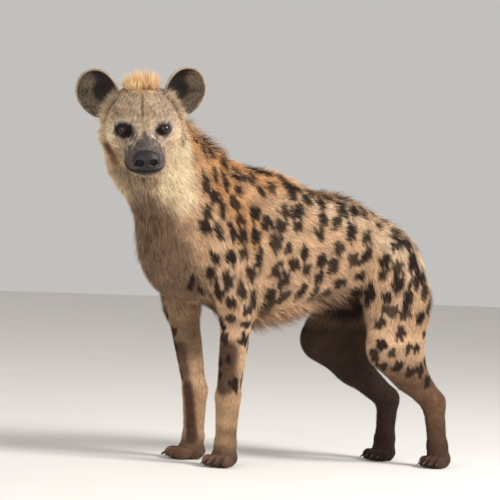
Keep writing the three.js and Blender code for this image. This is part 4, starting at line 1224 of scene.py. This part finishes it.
def ear_ground(points, coat):
    colour = np.zeros((len(points), 3))
    for side in (1, -1):
        local = ear_local(points, side)
        mine = np.linalg.norm(local, axis=1) < 110
        u, v, w = local[mine].T
        edge = np.hypot(u / (EAR_WIDTH / 2), v / (EAR_LENGTH / 2))
        bowl = -EAR_DEPTH * np.sqrt(np.clip(1 - np.clip(edge, 0, 1) ** 2, 0, 1)) + EAR_WALL / 2
        front = smooth_step((w - bowl + 6) / 6)
        part = np.tile(np.array(coat.ear_back), (mine.sum(), 1))
        part = tinted(part, front, coat.ear_inside)
        outer = np.maximum(smooth_step((u + 10) / 30), smooth_step((-10 - v) / 30)) * smooth_step((edge - 0.25) / 0.3)
        streaky = 0.6 + 0.4 * ripple(points[mine], 0.006, 21)
        part = tinted(part, 0.8 * outer * front * streaky, coat.ear_hair)
        # the pale rim of the ear: partly its own hair, partly a painted highlight along the edge
        part = tinted(part, smooth_step((edge - 0.9) / 0.07), coat.ear_rim_and_highlight)
        colour[mine] = part
    return colour


# Dark bars beside the line of the back, from the withers to the rump
BACK_BARS = [
    ((10, 62, 804), (32, 112, 791), 17),
    ((74, 154, 765), (62, 200, 757), 16),
    ((10, 238, 756), (40, 278, 746), 13),
    ((60, 284, 740), (64, 340, 722), 12),
    ((74, 362, 708), (74, 420, 688), 11),
    ((92, 450, 664), (110, 520, 612), 11),
    ((114, 530, 590), (120, 580, 500), 10),
]

SPOT_SPACING = 40
SPOT_SEED = 11


class Spots:
    """Dark spots scattered over the body, drawn out along the way they run."""

    def __init__(self, places, normals, seed=SPOT_SEED):
        random = np.random.default_rng(seed)
        order = random.permutation(len(places))
        at = drawn_place(places)
        kept = []
        for index in order:
            if not self.may_hold(at[index]):
                continue
            gap = SPOT_SPACING * self.size_at(at[index]) * MM
            if all(np.sum((places[index] - places[other]) ** 2) > gap * gap for other in kept):
                kept.append(index)
        self.centres = places[kept]
        self.at = at[kept]
        count = len(kept)
        run = np.array([self.run_at(place) for place in self.at])
        run += random.normal(0, 0.25, (count, 3))
        facing = normals[kept]
        run -= facing * np.einsum("ij,ij->i", run, facing)[:, None]
        self.along = run / np.linalg.norm(run, axis=1, keepdims=True)
        self.across = np.cross(facing, self.along)
        size = np.array([self.size_at(place) for place in self.at])
        stretch = np.array([self.stretch_at(place) for place in self.at])
        self.long = 19 * MM * size * stretch * random.uniform(0.7, 1.35, count)
        self.wide = 18 * MM * size / np.sqrt(stretch) * random.uniform(0.75, 1.3, count)
        self.facing = facing
        self.strength = random.uniform(0.93, 1.0, count)

    @staticmethod
    def may_hold(at):
        x, y, z = at
        front = -118 if z > 640 else -90 - 0.25 * (640 - z)
        if y < front:
            return z > 870 and y > -210
        if y > 330:
            return z > 240 and (z > 470 or abs(x) > 108)
        return z > 215 and (x > 84 or x < -100 or z > 460)

    @staticmethod
    def size_at(at):
        if at[2] < 430:
            return 0.85
        return 0.85 if at[1] < 0 else 1.0

    @staticmethod
    def stretch_at(at):
        if at[2] < 430:
            return 1.0
        return 1.45 if at[1] < 60 else 1.2

    @staticmethod
    def run_at(at):
        if at[1] < 60:
            return np.array([0.0, 0.35, -1.0])
        if at[1] > 380:
            return np.array([0.0, 0.5, 1.0])
        return np.array([0.0, -0.25, -1.0])

    def darkness(self, points):
        """How dark the spots make each point, from nought to one."""
        dark = np.zeros(len(points))
        wobble = 0.3 * ripple(points, 0.018, 3)
        for i, centre in enumerate(self.centres):
            reach = 1.6 * max(self.long[i], self.wide[i])
            near = np.flatnonzero(np.all(np.abs(points - centre) < reach, axis=1))
            if not len(near):
                continue
            d = points[near] - centre
            r = np.hypot(d @ self.along[i] / self.long[i], d @ self.across[i] / self.wide[i])
            ink = self.strength[i] * smooth_step((1.2 + wobble[near] - r) / 0.3)
            ink *= np.abs(d @ self.facing[i]) < 0.03
            dark[near] = np.maximum(dark[near], ink)
        return dark


def coat_colour(points, spots, coat):
    """The coat's colour at each point of the skin."""
    at = drawn_place(points)
    shares = region_shares(points)
    colour = trunk_ground(at, coat)
    legs = shares["leg"]
    colour = colour * (1 - legs[:, None]) + leg_ground(at, colour, coat) * legs[:, None]
    mirrored = np.abs(at * [1, 0, 0]) + at * [0, 1, 1]
    for start, end, radius in BACK_BARS:
        colour = tinted(colour, bar_share(mirrored, start, end, radius, 12), coat.spot)
    head = shares["head"]
    ink = spots.darkness(points) * (1 - head)
    faded = 1 - 0.5 * bar_share(at, (0, -40, 430), (0, 300, 440), 70, 60)
    colour = tinted(colour, ink * faded, coat.spot)
    colour = colour * (1 - head[:, None]) + head_ground(points, coat) * head[:, None]
    ears = on_ear(points)
    colour[ears] = ear_ground(points[ears], coat)
    tail = smooth_step((tail_distance(points) - 0.012) / -0.01) * smooth_step((560 - at[:, 2]) / 60)
    colour = tinted(colour, tail * (at[:, 1] > 590), coat.brush)
    patches = 1 + 0.12 * ripple(points, 0.05, 8) + 0.08 * ripple(points, 0.014, 9)
    throat = bar_share(at, (50, -340, 780), (20, -240, 600), 70, 60)
    patches += 0.3 * throat * np.minimum(ripple(points * [1, 1, 0.6], 0.026, 10) + 0.1, 0.2)
    return np.clip(colour * patches[:, None], 0.002, 1)


# The lie of the hair
FLANK_DROP = 0.9


def hair_lie(points, normals):
    """The way the hair lies at each point, along the surface."""
    total = np.zeros((len(points), 3))
    for masses in [TRUNK, NECK, TAIL, *LEGS.values()]:
        for mass in masses:
            weight = np.exp(-np.clip(mass.distance(points), -0.02, 0.4) / (14 * MM))
            total += weight[:, None] * mass.lie
    trunk = 1 - region_shares(points)["head"]
    steep = FLANK_DROP * trunk * (1 - np.abs(normals[:, 2])) * smooth_step((points[:, 1] + 0.16) / 0.1)
    total[:, 2] -= steep * np.linalg.norm(total, axis=1)
    local = to_head(points)
    for mass in SKULL:
        weight = np.exp(-np.clip(mass.distance(local), -0.02, 0.4) / (14 * MM))
        total += weight[:, None] * (mass.lie @ HEAD_AXES)
    ears = on_ear(points)
    for side in (1, -1):
        ear = ear_local(points, side)
        mine = ears & (np.linalg.norm(ear, axis=1) < 110)
        middle, outward_way, tipward, facing = ear_frame(side)
        spread = ear[mine] * np.array([1, 1, 0]) / 60 + np.array([0.1, 0.8, 0])
        total[mine] = spread @ np.array([outward_way, tipward, facing])
    total -= normals * np.einsum("ij,ij->i", total, normals)[:, None]
    return total / (np.linalg.norm(total, axis=1, keepdims=True) + 1e-9)


# Hair: one tuft made with bmesh, repeated over the skin

UV_PATCH = 0.003


def tuft_shape(rings):
    """A thin closed blade of three sides from its root at nought to its tip at one, as arrays."""
    bm = bmesh.new()
    bmesh.ops.create_cone(bm, cap_ends=True, segments=3, radius1=1, radius2=0, depth=1)
    bmesh.ops.translate(bm, vec=(0, 0, 0.5), verts=bm.verts)
    bmesh.ops.remove_doubles(bm, verts=bm.verts, dist=1e-4)
    for level in range(1, rings):
        everything = bm.verts[:] + bm.edges[:] + bm.faces[:]
        bmesh.ops.bisect_plane(bm, geom=everything, plane_co=(0, 0, level / rings), plane_no=(0, 0, 1))
    bmesh.ops.triangulate(bm, faces=bm.faces)
    bmesh.ops.recalc_face_normals(bm, faces=bm.faces)
    bm.verts.index_update()
    corners = np.array([vert.co[:] for vert in bm.verts])
    faces = np.array([[vert.index for vert in face.verts] for face in bm.faces])
    bm.free()
    along = corners[:, 2].copy()
    girth = np.clip(1 - along, 0.0, 1)
    flat = corners[:, :2] / np.maximum(girth, 1e-6)[:, None]
    flat[along > 0.999] = 0
    return flat, along, faces


class Roots:
    """Places on the skin where tufts stand, with what the skin has there."""

    def __init__(self, at, normal, uv, lie, colour, tip_colour):
        self.at = at
        self.normal = normal
        self.uv = uv
        self.lie = lie
        self.colour = colour
        self.tip_colour = tip_colour

    def __len__(self):
        return len(self.at)

    def chosen(self, which):
        kept = [getattr(self, name)[which] for name in ("at", "normal", "uv", "lie", "colour", "tip_colour")]
        return Roots(*kept)


def skin_samples(mesh, spacing_at, seed):
    """Points spread over the mesh, as close as the spacing asks, with their normals and unwrapped places."""
    mesh.calc_loop_triangles()
    count = len(mesh.loop_triangles)
    corner_verts = np.empty(count * 3, np.int32)
    corner_loops = np.empty(count * 3, np.int32)
    mesh.loop_triangles.foreach_get("vertices", corner_verts)
    mesh.loop_triangles.foreach_get("loops", corner_loops)
    corner_verts = corner_verts.reshape(-1, 3)
    corner_loops = corner_loops.reshape(-1, 3)
    places = vertex_array(mesh)
    normals = normal_array(mesh)
    uvs = np.empty(len(mesh.loops) * 2)
    mesh.uv_layers["OFBake"].uv.foreach_get("vector", uvs)
    uvs = uvs.reshape(-1, 2)
    corners = places[corner_verts]
    area = np.linalg.norm(np.cross(corners[:, 1] - corners[:, 0], corners[:, 2] - corners[:, 0]), axis=1) / 2
    spacing = spacing_at(corners.mean(axis=1))
    crowd = 2.2
    wanted = np.where(spacing > 0, crowd * area / np.maximum(spacing, 1e-4) ** 2, 0)
    random = np.random.default_rng(seed)
    number = np.floor(wanted + random.random(count)).astype(int)
    which = np.repeat(np.arange(count), number)
    a, b = random.random((2, len(which)))
    fold = a + b > 1
    a[fold], b[fold] = 1 - a[fold], 1 - b[fold]
    shares = np.stack([1 - a - b, a, b], 1)[:, :, None]
    at = (corners[which] * shares).sum(axis=1)
    cell = spacing[which] * 0.92
    key = np.floor(at / cell[:, None]).astype(np.int64)
    code = (key[:, 0] * 73856093) ^ (key[:, 1] * 19349663) ^ (key[:, 2] * 83492791)
    _, first = np.unique(code, return_index=True)
    first = np.sort(first)
    normal = (normals[corner_verts[which[first]]] * shares[first]).sum(axis=1)
    normal /= np.linalg.norm(normal, axis=1, keepdims=True)
    uv = (uvs[corner_loops[which[first]]] * shares[first]).sum(axis=1)
    return at[first], normal, uv


def cell_values(points, cell, seed, columns=3):
    """Random values that all the points in one small cube share."""
    key = np.floor(points / cell).astype(np.int64)
    code = ((key[:, 0] * 73856093) ^ (key[:, 1] * 19349663) ^ (key[:, 2] * 83492791)) % 4093
    return np.random.default_rng(seed).normal(size=(4093, columns))[code]


def grow(name, roots, length, width, lift, rings=2, seed=1, stray=0.16, clump=0.0, clump_size=0.014, rise=None,
         settle_on=None, sink=0.8 * MM, droop=0.0, tip_light=1.25):
    """Tufts on the roots as one mesh: lengths and widths in metres, lift as a share of the length."""
    random = np.random.default_rng(seed)
    flat, along, faces = tuft_shape(rings)
    count = len(roots)
    size = np.broadcast_to(length, (count,)) * random.uniform(0.75, 1.25, count)
    girth = np.broadcast_to(width, (count,)) * random.uniform(0.75, 1.2, count)
    up = np.broadcast_to(lift, (count,)) * random.uniform(0.6, 1.4, count)
    way = roots.lie + random.normal(0, stray, (count, 3))
    if clump:
        way += clump * cell_values(roots.at, clump_size, seed + 50)
    if rise is not None:
        way += rise
    way -= roots.normal * np.einsum("ij,ij->i", way, roots.normal)[:, None]
    way /= np.linalg.norm(way, axis=1, keepdims=True) + 1e-9
    side = np.cross(roots.normal, way)
    levels = np.unique(along)
    centres = {}
    for level in levels:
        height = size * up * (1 - (1 - level) ** 2) - sink * (1 - level)
        centre = roots.at + way * (size * level * np.sqrt(np.clip(1 - (up * 0.8) ** 2, 0.2, 1)))[:, None]
        centre = centre + roots.normal * height[:, None]
        if settle_on is not None and level > 0:
            over = measured(settle_on, centre)
            centre += roots.normal * np.clip(height - over, -0.3 * size, 0.3 * size)[:, None]
        centre[:, 2] -= droop * size * level ** 2
        centres[level] = centre
    vertices = np.empty((count, len(along), 3))
    for index, level in enumerate(along):
        thick = girth * (0.75 * (1 - level) + 0.5 * math.sin(math.pi * min(1, 0.25 + level)) * (1 - level))
        vertices[:, index] = (
            centres[level]
            + side * (flat[index, 0] * thick)[:, None]
            + roots.normal * (flat[index, 1] * 0.4 * thick)[:, None]
        )
    tone = random.uniform(0.5, 1.5, count)
    shade = 0.7 + (tip_light - 0.7) * np.sqrt(along)
    tipward = smooth_step((along - 0.2) / 0.6)[None, :, None]
    hues = roots.colour[:, None, :] * (1 - tipward) + roots.tip_colour[:, None, :] * tipward
    colours = np.ones((count, len(along), 4))
    colours[:, :, :3] = np.clip(hues * tone[:, None, None] * shade[None, :, None], 0, 1)
    uv = roots.uv[:, None, :] + (np.stack([flat[:, 0], along * 2 - 1], 1) * UV_PATCH / 2)[None]
    lie = np.repeat(way[:, None, :], len(along), axis=1)
    return mesh_of_tufts(name, vertices, faces, uv, colours, lie)


def mesh_of_tufts(name, vertices, faces, uv, colours, lie):
    count, per_tuft = vertices.shape[:2]
    vertices[:, :, 2] = np.maximum(vertices[:, :, 2], 0.3 * MM)
    corner = (faces[None] + (np.arange(count) * per_tuft)[:, None, None]).reshape(-1)
    mesh = bpy.data.meshes.new(name)
    mesh.vertices.add(count * per_tuft)
    mesh.vertices.foreach_set("co", vertices.astype(np.float32).ravel())
    mesh.loops.add(len(corner))
    mesh.loops.foreach_set("vertex_index", corner.astype(np.int32))
    mesh.polygons.add(len(corner) // 3)
    mesh.polygons.foreach_set("loop_start", np.arange(0, len(corner), 3, dtype=np.int32))
    mesh.update(calc_edges=True)
    smooth_shade(mesh)
    layer = mesh.uv_layers.new(name="OFBake")
    layer.uv.foreach_set("vector", uv.reshape(-1, 2)[corner].astype(np.float32).ravel())
    set_attribute(mesh, "coat_colour", "FLOAT_COLOR", colours)
    set_attribute(mesh, "lie", "FLOAT_VECTOR", lie)
    return new_object(name, mesh)


# How the coat changes over the body: spacing, length, half width and lift of its tufts

SHORT_COAT = {
    "trunk": {"spacing": 4.8, "length": 21, "width": 0.85, "lift": 0.30},
    "leg": {"spacing": 3.5, "length": 9.5, "width": 0.7, "lift": 0.24},
    "foot": {"spacing": 2.9, "length": 6.0, "width": 0.6, "lift": 0.2},
    "head": {"spacing": 2.5, "length": 7.5, "width": 0.5, "lift": 0.24},
}


def short_coat(quantity, points):
    """One quantity of the short coat over the body, in metres, or as a share for the lift."""
    shares = region_shares(points)
    value = np.full(len(points), float(SHORT_COAT["trunk"][quantity]))
    for region in ("leg", "foot", "head"):
        value += (SHORT_COAT[region][quantity] - value) * shares[region]
    ears = on_ear(points)
    value[ears] = SHORT_COAT["foot"][quantity]
    if quantity == "length":
        local = to_head(points) / MM
        muzzle = shares["head"] * smooth_step((local[:, 1] - 30) / 30)
        eye = np.hypot(np.abs(local[:, 0]) - EYE_SPACING, local[:, 2] - EYE_UP)
        value -= 3.4 * muzzle
        value -= 2.6 * smooth_step((34 - eye) / 16) * shares["head"] * (local[:, 1] > -20)
    return value if quantity == "lift" else value * MM


def bare_of_hair(points):
    """Nose, eyes and soles grow no tufts."""
    local = to_head(points)
    nose = np.linalg.norm((local / MM - np.array(NOSE_AT)) / np.array(NOSE_RADII), axis=1) < 1.12
    eyes = np.zeros(len(points), bool)
    for side in (1, -1):
        middle, *_ = eye_frame(side)
        close = np.linalg.norm(local - np.array(middle), axis=1) < (EYE_RADIUS + 1.6) * MM
        eyes |= close & (eye_opening(local, side) < 0.4 * MM)
    return nose | eyes | (points[:, 2] < 5 * MM)


def on_head_mm(across, forward, up):
    return tuple(drawn_place(np.array([on_head(across, forward, up)]))[0])


TAIL_BRUSH = ((-28, 632, 480), (-28, 624, 382), 16)

LONG_HAIR = {
    "crown": {
        "slot": "coat", "bars": [(on_head_mm(-16, -74, 98), on_head_mm(16, -74, 98), 26)], "spacing": 2.1,
        "length": 34, "width": 0.45, "lift": 0.9, "rings": 4, "tip": 1.9, "clump": 0.35, "stray": 0.35,
    },
    "temples": {
        "slot": "face_coat",
        "bars": [
            (on_head_mm(70, -70, 62), on_head_mm(88, -66, 18), 20),
            (on_head_mm(-70, -70, 62), on_head_mm(-88, -66, 18), 20),
        ],
        "spacing": 2.7, "length": 25, "width": 0.45, "lift": 0.85, "rings": 3, "tip": 1.3,
    },
    "mane": {
        "slot": "coat", "bars": [((20, -250, 935), (0, -60, 800), 46)], "spacing": 4.2, "length": 52,
        "width": 0.9, "lift": 0.62, "rings": 4, "tip": 1.35,
    },
    "cheek_ruff": {
        "slot": "coat",
        "bars": [
            (on_head_mm(96, -56, -30), on_head_mm(74, -40, -120), 32),
            (on_head_mm(-96, -56, -30), on_head_mm(-74, -40, -120), 32),
        ],
        "spacing": 3.4, "length": 24, "width": 0.5, "lift": 0.45, "rings": 3, "tip": 1.25,
    },
    "back_line": {
        "slot": "coat", "bars": [((0, -60, 800), (0, 300, 742), 34), ((0, 300, 742), (0, 520, 650), 30)],
        "spacing": 5.4, "length": 36, "width": 0.9, "lift": 0.4, "rings": 3, "tip": 1.2,
    },
    "throat_ruff": {
        "slot": "coat", "bars": [((76, -300, 745), (8, -240, 610), 62)], "spacing": 5.0, "length": 36,
        "width": 0.7, "lift": 0.34, "rings": 3, "tip": 1.25,
    },
    "belly_fringe": {
        "slot": "coat", "bars": [((0, 60, 402), (0, 320, 452), 72)], "spacing": 4.8, "length": 58,
        "width": 0.9, "lift": 0.36, "rings": 3, "tip": 1.7, "droop": 0.25,
    },
    "tail_brush": {
        "slot": "tail_brush", "bars": [TAIL_BRUSH], "spacing": 3.6, "length": 84,
        "width": 0.8, "lift": 0.22, "rings": 4, "tip": 1.1, "droop": 0.2,
    },
}


class Coat:
    """All the hair, grown from one skin."""

    def __init__(self, skin, settings):
        self.mesh = skin.data
        self.settings = settings
        places = vertex_array(self.mesh)
        normals = normal_array(self.mesh)
        random = np.random.default_rng(SPOT_SEED)
        some = random.permutation(len(places))[:9000]
        self.spots = Spots(places[some], normals[some])

    def paint_skin(self):
        places = vertex_array(self.mesh)
        colour = self.colour(places)
        set_attribute(self.mesh, "coat_colour", "FLOAT_COLOR", np.column_stack([0.8 * colour, np.ones(len(colour))]))
        set_attribute(self.mesh, "lie", "FLOAT_VECTOR", hair_lie(places, normal_array(self.mesh)))

    def colour(self, points):
        return coat_colour(points, self.spots, self.settings)

    def roots(self, spacing_at, seed):
        at, normal, uv = skin_samples(self.mesh, spacing_at, seed)
        unknown = np.zeros((len(at), 3))
        return Roots(at, normal, uv, hair_lie(at, normal), unknown, unknown)

    def colour_hair(self, roots, length):
        """Each tuft takes the markings under its lower part and under its tip."""
        forward = roots.lie * length[:, None]
        roots.colour = self.colour(roots.at + 0.25 * forward)
        roots.tip_colour = self.colour(roots.at + 0.8 * forward)


# What a user may change

def tint(name, description, default):
    return FloatVectorProperty(
        name=name, description=description, subtype="COLOR", size=3, min=0, max=1, default=default,
    )


class HyenaCoat(bpy.types.PropertyGroup):
    buff: tint("Flank", "Ground colour of the flank", (0.6, 0.385, 0.23))
    spot: tint("Spots", "The dark spots", (0.02, 0.009, 0.005))
    nape: tint("Nape", "Orange brown of nape and shoulder", (0.56, 0.29, 0.12))
    # partly the rump's own colour, partly a painted highlight
    rump: tint("Rump", "Pale buff over the rump", (0.7, 0.5, 0.33))
    # partly the neck's own colour, partly a painted highlight
    neck: tint("Side of the neck", "Creamy side of the neck", (0.86, 0.66, 0.43))
    # partly the throat's own colour, partly painted shade
    throat: tint("Throat", "Grey buff of the throat", (0.42, 0.3, 0.19))
    # partly the chest's own colour, partly painted shade
    chest_and_shade: tint("Chest", "Dark brown of the chest", (0.25, 0.155, 0.095))
    # partly the belly's own colour, partly painted shade under the body
    belly: tint("Belly", "Dark underside", (0.15, 0.08, 0.042))
    # partly bare dark skin, partly painted shade between the hind legs
    groin_and_shade: tint("Groin", "Bare dark groin and inner thigh", (0.03, 0.013, 0.008))
    foreleg: tint("Foreleg", "Tan of the forelegs", (0.38, 0.22, 0.11))
    shin: tint("Front of the foreleg", "Dark streak down the forelegs", (0.07, 0.034, 0.018))
    shank: tint("Shank", "Reddish brown lower hind legs", (0.11, 0.048, 0.024))
    foot: tint("Feet", "Dark brown feet", (0.075, 0.036, 0.022))
    forehead: tint("Forehead", "Grey tan forehead", (0.44, 0.32, 0.21))
    crown: tint("Crest", "Golden crest between the ears", (0.66, 0.39, 0.19))
    cheek: tint("Cheek", "Pale cheek", (0.78, 0.58, 0.37))
    cheek_patch: tint("Cheek patch", "Brown patch behind the mouth", (0.16, 0.065, 0.026))
    eye_ring: tint("Eye ring", "Pale ring round the eyes", (0.52, 0.42, 0.33))
    stripe: tint("Brow stripe", "Dark stripe down the forehead", (0.13, 0.07, 0.045))
    muzzle: tint("Muzzle", "Dark grey muzzle", (0.085, 0.066, 0.064))
    lip: tint("Lips and lids", "Black of lips and lids", (0.012, 0.009, 0.008))
    ear_back: tint("Back of the ear", "Brown back of the ear", (0.16, 0.1, 0.065))
    ear_inside: tint("Inside of the ear", "Grey black inside of the ear", (0.03, 0.022, 0.02))
    ear_hair: tint("Hair in the ear", "Grey hair at the outer side of the ear", (0.38, 0.28, 0.19))
    # partly the rim's own hair, partly a painted highlight
    ear_rim_and_highlight: tint("Rim of the ear", "Pale rim of the ear", (0.5, 0.4, 0.29))
    brush: tint("Tail brush", "Black tip of the tail", (0.012, 0.009, 0.007))


class HyenaStage(bpy.types.PropertyGroup):
    floor: FloatVectorProperty(
        name="Floor colour", description="The plain floor and backdrop", subtype="COLOR", size=3,
        min=0, max=1, default=(0.75, 0.72, 0.68),
    )
    key: FloatProperty(name="Key light", description="Strength of the main light", unit="POWER", min=0, default=330)
    ambient: FloatProperty(name="Ambient light", description="Strength of the light all round", min=0, default=0.6)


class OBJECT_OT_hyena_skin(bpy.types.Operator):
    """One skin over the whole animal, with its lids, lips and ears"""

    bl_idname = "object.hyena_skin"
    bl_label = "Skin"

    def execute(self, context):
        skin = build_skin()
        finish_piece(skin, "coat", FLESH_NODES, fur_finish("short_fur"))
        Coat(skin, context.scene.hyena_coat).paint_skin()
        return {"FINISHED"}


MOST_TUFTS = {1: 190000, 2: 19000, 3: 12000, 4: 8600}


def add_hair(name, slot, finish, roots, **shape):
    """Grows tufts and finishes them, in as many pieces as keep each of a fair size."""
    most = MOST_TUFTS[shape.get("rings", 2)]
    order = np.argsort(roots.at[:, 1])
    parts = np.array_split(order, -(-len(order) // most))
    for number, part in enumerate(parts, 1):
        given = {key: value[part] if isinstance(value, np.ndarray) else value for key, value in shape.items()}
        label = name if len(parts) == 1 else f"{name}_{number}"
        finish_piece(grow(label, roots.chosen(part), **given), slot, [], finish)


class OBJECT_OT_hyena_short_coat(bpy.types.Operator):
    """Short fur over body, legs, head and ears"""

    bl_idname = "object.hyena_short_coat"
    bl_label = "Short coat"

    def execute(self, context):
        coat = Coat(bpy.data.objects["skin"], context.scene.hyena_coat)

        def spacing(points):
            return short_coat("spacing", points) * ~bare_of_hair(points)

        roots = coat.roots(spacing, seed=2)
        roots = roots.chosen(~bare_of_hair(roots.at))
        length = short_coat("length", roots.at)
        coat.colour_hair(roots, length)
        width = short_coat("width", roots.at)
        lift = short_coat("lift", roots.at)
        shares = region_shares(roots.at)
        ears = on_ear(roots.at)
        head = (shares["head"] > 0.5) & ~ears
        foot = (shares["foot"] > 0.5) & ~head & ~ears
        leg = (shares["leg"] > 0.5) & ~foot & ~head & ~ears
        trunk = ~(ears | head | foot | leg)
        finish = fur_finish("coat_hair", streak=1800, depth=0.0002)
        regions = [
            ("trunk_coat", "coat", trunk, 2, skin_distance),
            ("leg_coat", "leg_coat", leg, 2, skin_distance),
            ("paw_coat", "paw", foot, 2, skin_distance),
            ("face_coat", "face_coat", head, 2, None),
            ("ear_coat", "ear_coat", ears, 2, None),
        ]
        for name, slot, which, rings, ground in regions:
            add_hair(name, slot, finish, roots.chosen(which), length=length[which], width=width[which],
                     lift=lift[which], rings=rings, clump=0.12, settle_on=ground, seed=3)
        return {"FINISHED"}


class OBJECT_OT_hyena_long_hair(bpy.types.Operator):
    """Crest, back line, ruff and belly fringe"""

    bl_idname = "object.hyena_long_hair"
    bl_label = "Long hair"

    def execute(self, context):
        coat = Coat(bpy.data.objects["skin"], context.scene.hyena_coat)
        finish = fur_finish("long_hair", streak=1800, depth=0.0002)
        for name, hair in LONG_HAIR.items():
            def share(points):
                at = drawn_place(points)
                found = [bar_share(at, *bar, 30) for bar in hair["bars"]]
                return np.max(found, axis=0) * ~on_ear(points)

            def spacing(points):
                return hair["spacing"] * MM * (share(points) > 0.3)

            roots = coat.roots(spacing, seed=5)
            grown = (0.45 + 0.55 * share(roots.at)) * hair["length"] * MM
            coat.colour_hair(roots, grown)
            add_hair(name, hair["slot"], finish, roots, length=grown, width=hair["width"] * MM, lift=hair["lift"],
                     rings=hair["rings"], clump=hair.get("clump", 0.3), stray=hair.get("stray", 0.12), seed=7,
                     tip_light=hair["tip"], droop=hair.get("droop", 0))
        return {"FINISHED"}


class OBJECT_OT_hyena_nose(bpy.types.Operator):
    """The nose pad with its nostrils"""

    bl_idname = "object.hyena_nose"
    bl_label = "Nose"

    def execute(self, context):
        finish = leather_finish("nose_leather", (0.012, 0.009, 0.008))
        finish_piece(build_nose(), "nose_leather", ["nose"], finish)
        return {"FINISHED"}


class OBJECT_OT_hyena_claws(bpy.types.Operator):
    """Four blunt claws on each foot"""

    bl_idname = "object.hyena_claws"
    bl_label = "Claws"

    def execute(self, context):
        finish = horn_finish("dark_horn", (0.02, 0.014, 0.01))
        for all_joints, kind in ((FORE_JOINTS, "fore"), (HIND_JOINTS, "hind")):
            for side, joints in all_joints.items():
                name = f"{'left' if side > 0 else 'right'}_{kind}_claws"
                finish_piece(build_claws(name, joints, kind), "paw", [], finish)
        return {"FINISHED"}


class OBJECT_OT_hyena_eyes(bpy.types.Operator):
    """Two dark eyes behind their lids"""

    bl_idname = "object.hyena_eyes"
    bl_label = "Eyes"

    def execute(self, context):
        finish = eye_finish((0.01, 0.006, 0.004), (0.022, 0.01, 0.005))
        for side, node in ((1, "left_eye"), (-1, "right_eye")):
            finish_piece(build_eye(side), "eye", [node], finish)
        return {"FINISHED"}


# The stage, with the camera at the photo's angle

CAMERA_BEARING = math.radians(62)
CAMERA_HEIGHT_ANGLE = math.radians(2)
CAMERA_ROLL = math.radians(3.4)
CAMERA_AT = (7960.5, -4144.0, 896.9)
PICTURE_SIZE = 500
FOCAL_LENGTH_IN_PIXELS = 3312
SENSOR = 36


def add_camera():
    bearing, rise = CAMERA_BEARING, CAMERA_HEIGHT_ANGLE
    back = Vector((math.sin(bearing) * math.cos(rise), -math.cos(bearing) * math.cos(rise), math.sin(rise)))
    level = Vector((math.cos(bearing), math.sin(bearing), 0))
    roll = Quaternion(back, CAMERA_ROLL)
    right = roll @ level
    up = roll @ back.cross(level)
    camera = bpy.data.cameras.new("camera")
    camera.sensor_width = SENSOR
    camera.lens = FOCAL_LENGTH_IN_PIXELS / PICTURE_SIZE * SENSOR
    holder = bpy.data.objects.new("camera", camera)
    holder.matrix_world = Matrix.Translation(place(*CAMERA_AT)) @ Matrix((right, up, back)).transposed().to_4x4()
    bpy.context.scene.collection.objects.link(holder)
    bpy.context.scene.camera = holder


def add_soft_light(name, at, towards, power, size):
    light = bpy.data.lights.new(name, "AREA")
    light.energy = power
    light.size = size
    holder = bpy.data.objects.new(name, light)
    holder.location = at
    holder.rotation_euler = (Vector(towards) - Vector(at)).to_track_quat("-Z", "Y").to_euler()
    bpy.context.scene.collection.objects.link(holder)


def stage_finish(colour):
    material, tree, shader = new_finish("pale_floor")
    grain = noise(tree, 3, 2)
    shade = mixed(tree, grain, colour, tuple(0.94 * c for c in colour))
    tree.links.new(shade, shader.inputs["Base Color"])
    shader.inputs["Roughness"].default_value = 0.9
    return material


class OBJECT_OT_hyena_stage(bpy.types.Operator):
    """A plain pale floor, soft studio light and the camera"""

    bl_idname = "object.hyena_stage"
    bl_label = "Stage"

    def execute(self, context):
        settings = context.scene.hyena_stage
        bm = bmesh.new()
        bmesh.ops.create_grid(bm, x_segments=1, y_segments=1, size=8)
        floor = new_object("floor", mesh_from_bmesh("floor", bm))
        floor.data.materials.append(stage_finish(settings.floor))
        add_soft_light("key", (3.0, 2.6, 3.6), (0, 0, 0.5), settings.key, 2)
        add_soft_light("fill", (3.5, -5, 2.5), (0, 0, 0.5), 0.5 * settings.key, 4)
        world = bpy.data.worlds.new("studio")
        world.use_nodes = True
        sky = world.node_tree.nodes["Background"]
        sky.inputs["Color"].default_value = (0.9, 0.88, 0.85, 1)
        sky.inputs["Strength"].default_value = settings.ambient
        context.scene.world = world
        context.scene.view_settings.view_transform = "Standard"
        add_camera()
        return {"FINISHED"}


MAKERS = [
    OBJECT_OT_hyena_skin, OBJECT_OT_hyena_short_coat, OBJECT_OT_hyena_long_hair, OBJECT_OT_hyena_eyes,
    OBJECT_OT_hyena_nose, OBJECT_OT_hyena_claws, OBJECT_OT_hyena_stage,
]


class VIEW3D_PT_hyena(bpy.types.Panel):
    """Lists the parts of the hyena, to make one by one"""

    bl_label = "Spotted Hyena"
    bl_idname = "VIEW3D_PT_hyena"
    bl_space_type = "VIEW_3D"
    bl_region_type = "UI"
    bl_category = "Hyena"

    def draw(self, context):
        layout = self.layout
        for maker in MAKERS:
            layout.operator(maker.bl_idname)
        for group in (context.scene.hyena_coat, context.scene.hyena_stage):
            box = layout.box()
            for name in group.__annotations__:
                box.prop(group, name)


CLASSES = [HyenaCoat, HyenaStage, *MAKERS, VIEW3D_PT_hyena]


def register():
    for entry in CLASSES:
        bpy.utils.register_class(entry)
    bpy.types.Scene.hyena_coat = PointerProperty(type=HyenaCoat)
    bpy.types.Scene.hyena_stage = PointerProperty(type=HyenaStage)


def unregister():
    del bpy.types.Scene.hyena_stage
    del bpy.types.Scene.hyena_coat
    for entry in reversed(CLASSES):
        bpy.utils.unregister_class(entry)


def main():
    register()
    bpy.ops.object.hyena_skin()
    bpy.ops.object.hyena_short_coat()
    bpy.ops.object.hyena_long_hair()
    bpy.ops.object.hyena_eyes()
    bpy.ops.object.hyena_nose()
    bpy.ops.object.hyena_claws()
    bpy.ops.object.hyena_stage()


if __name__ == "__main__":
    main()
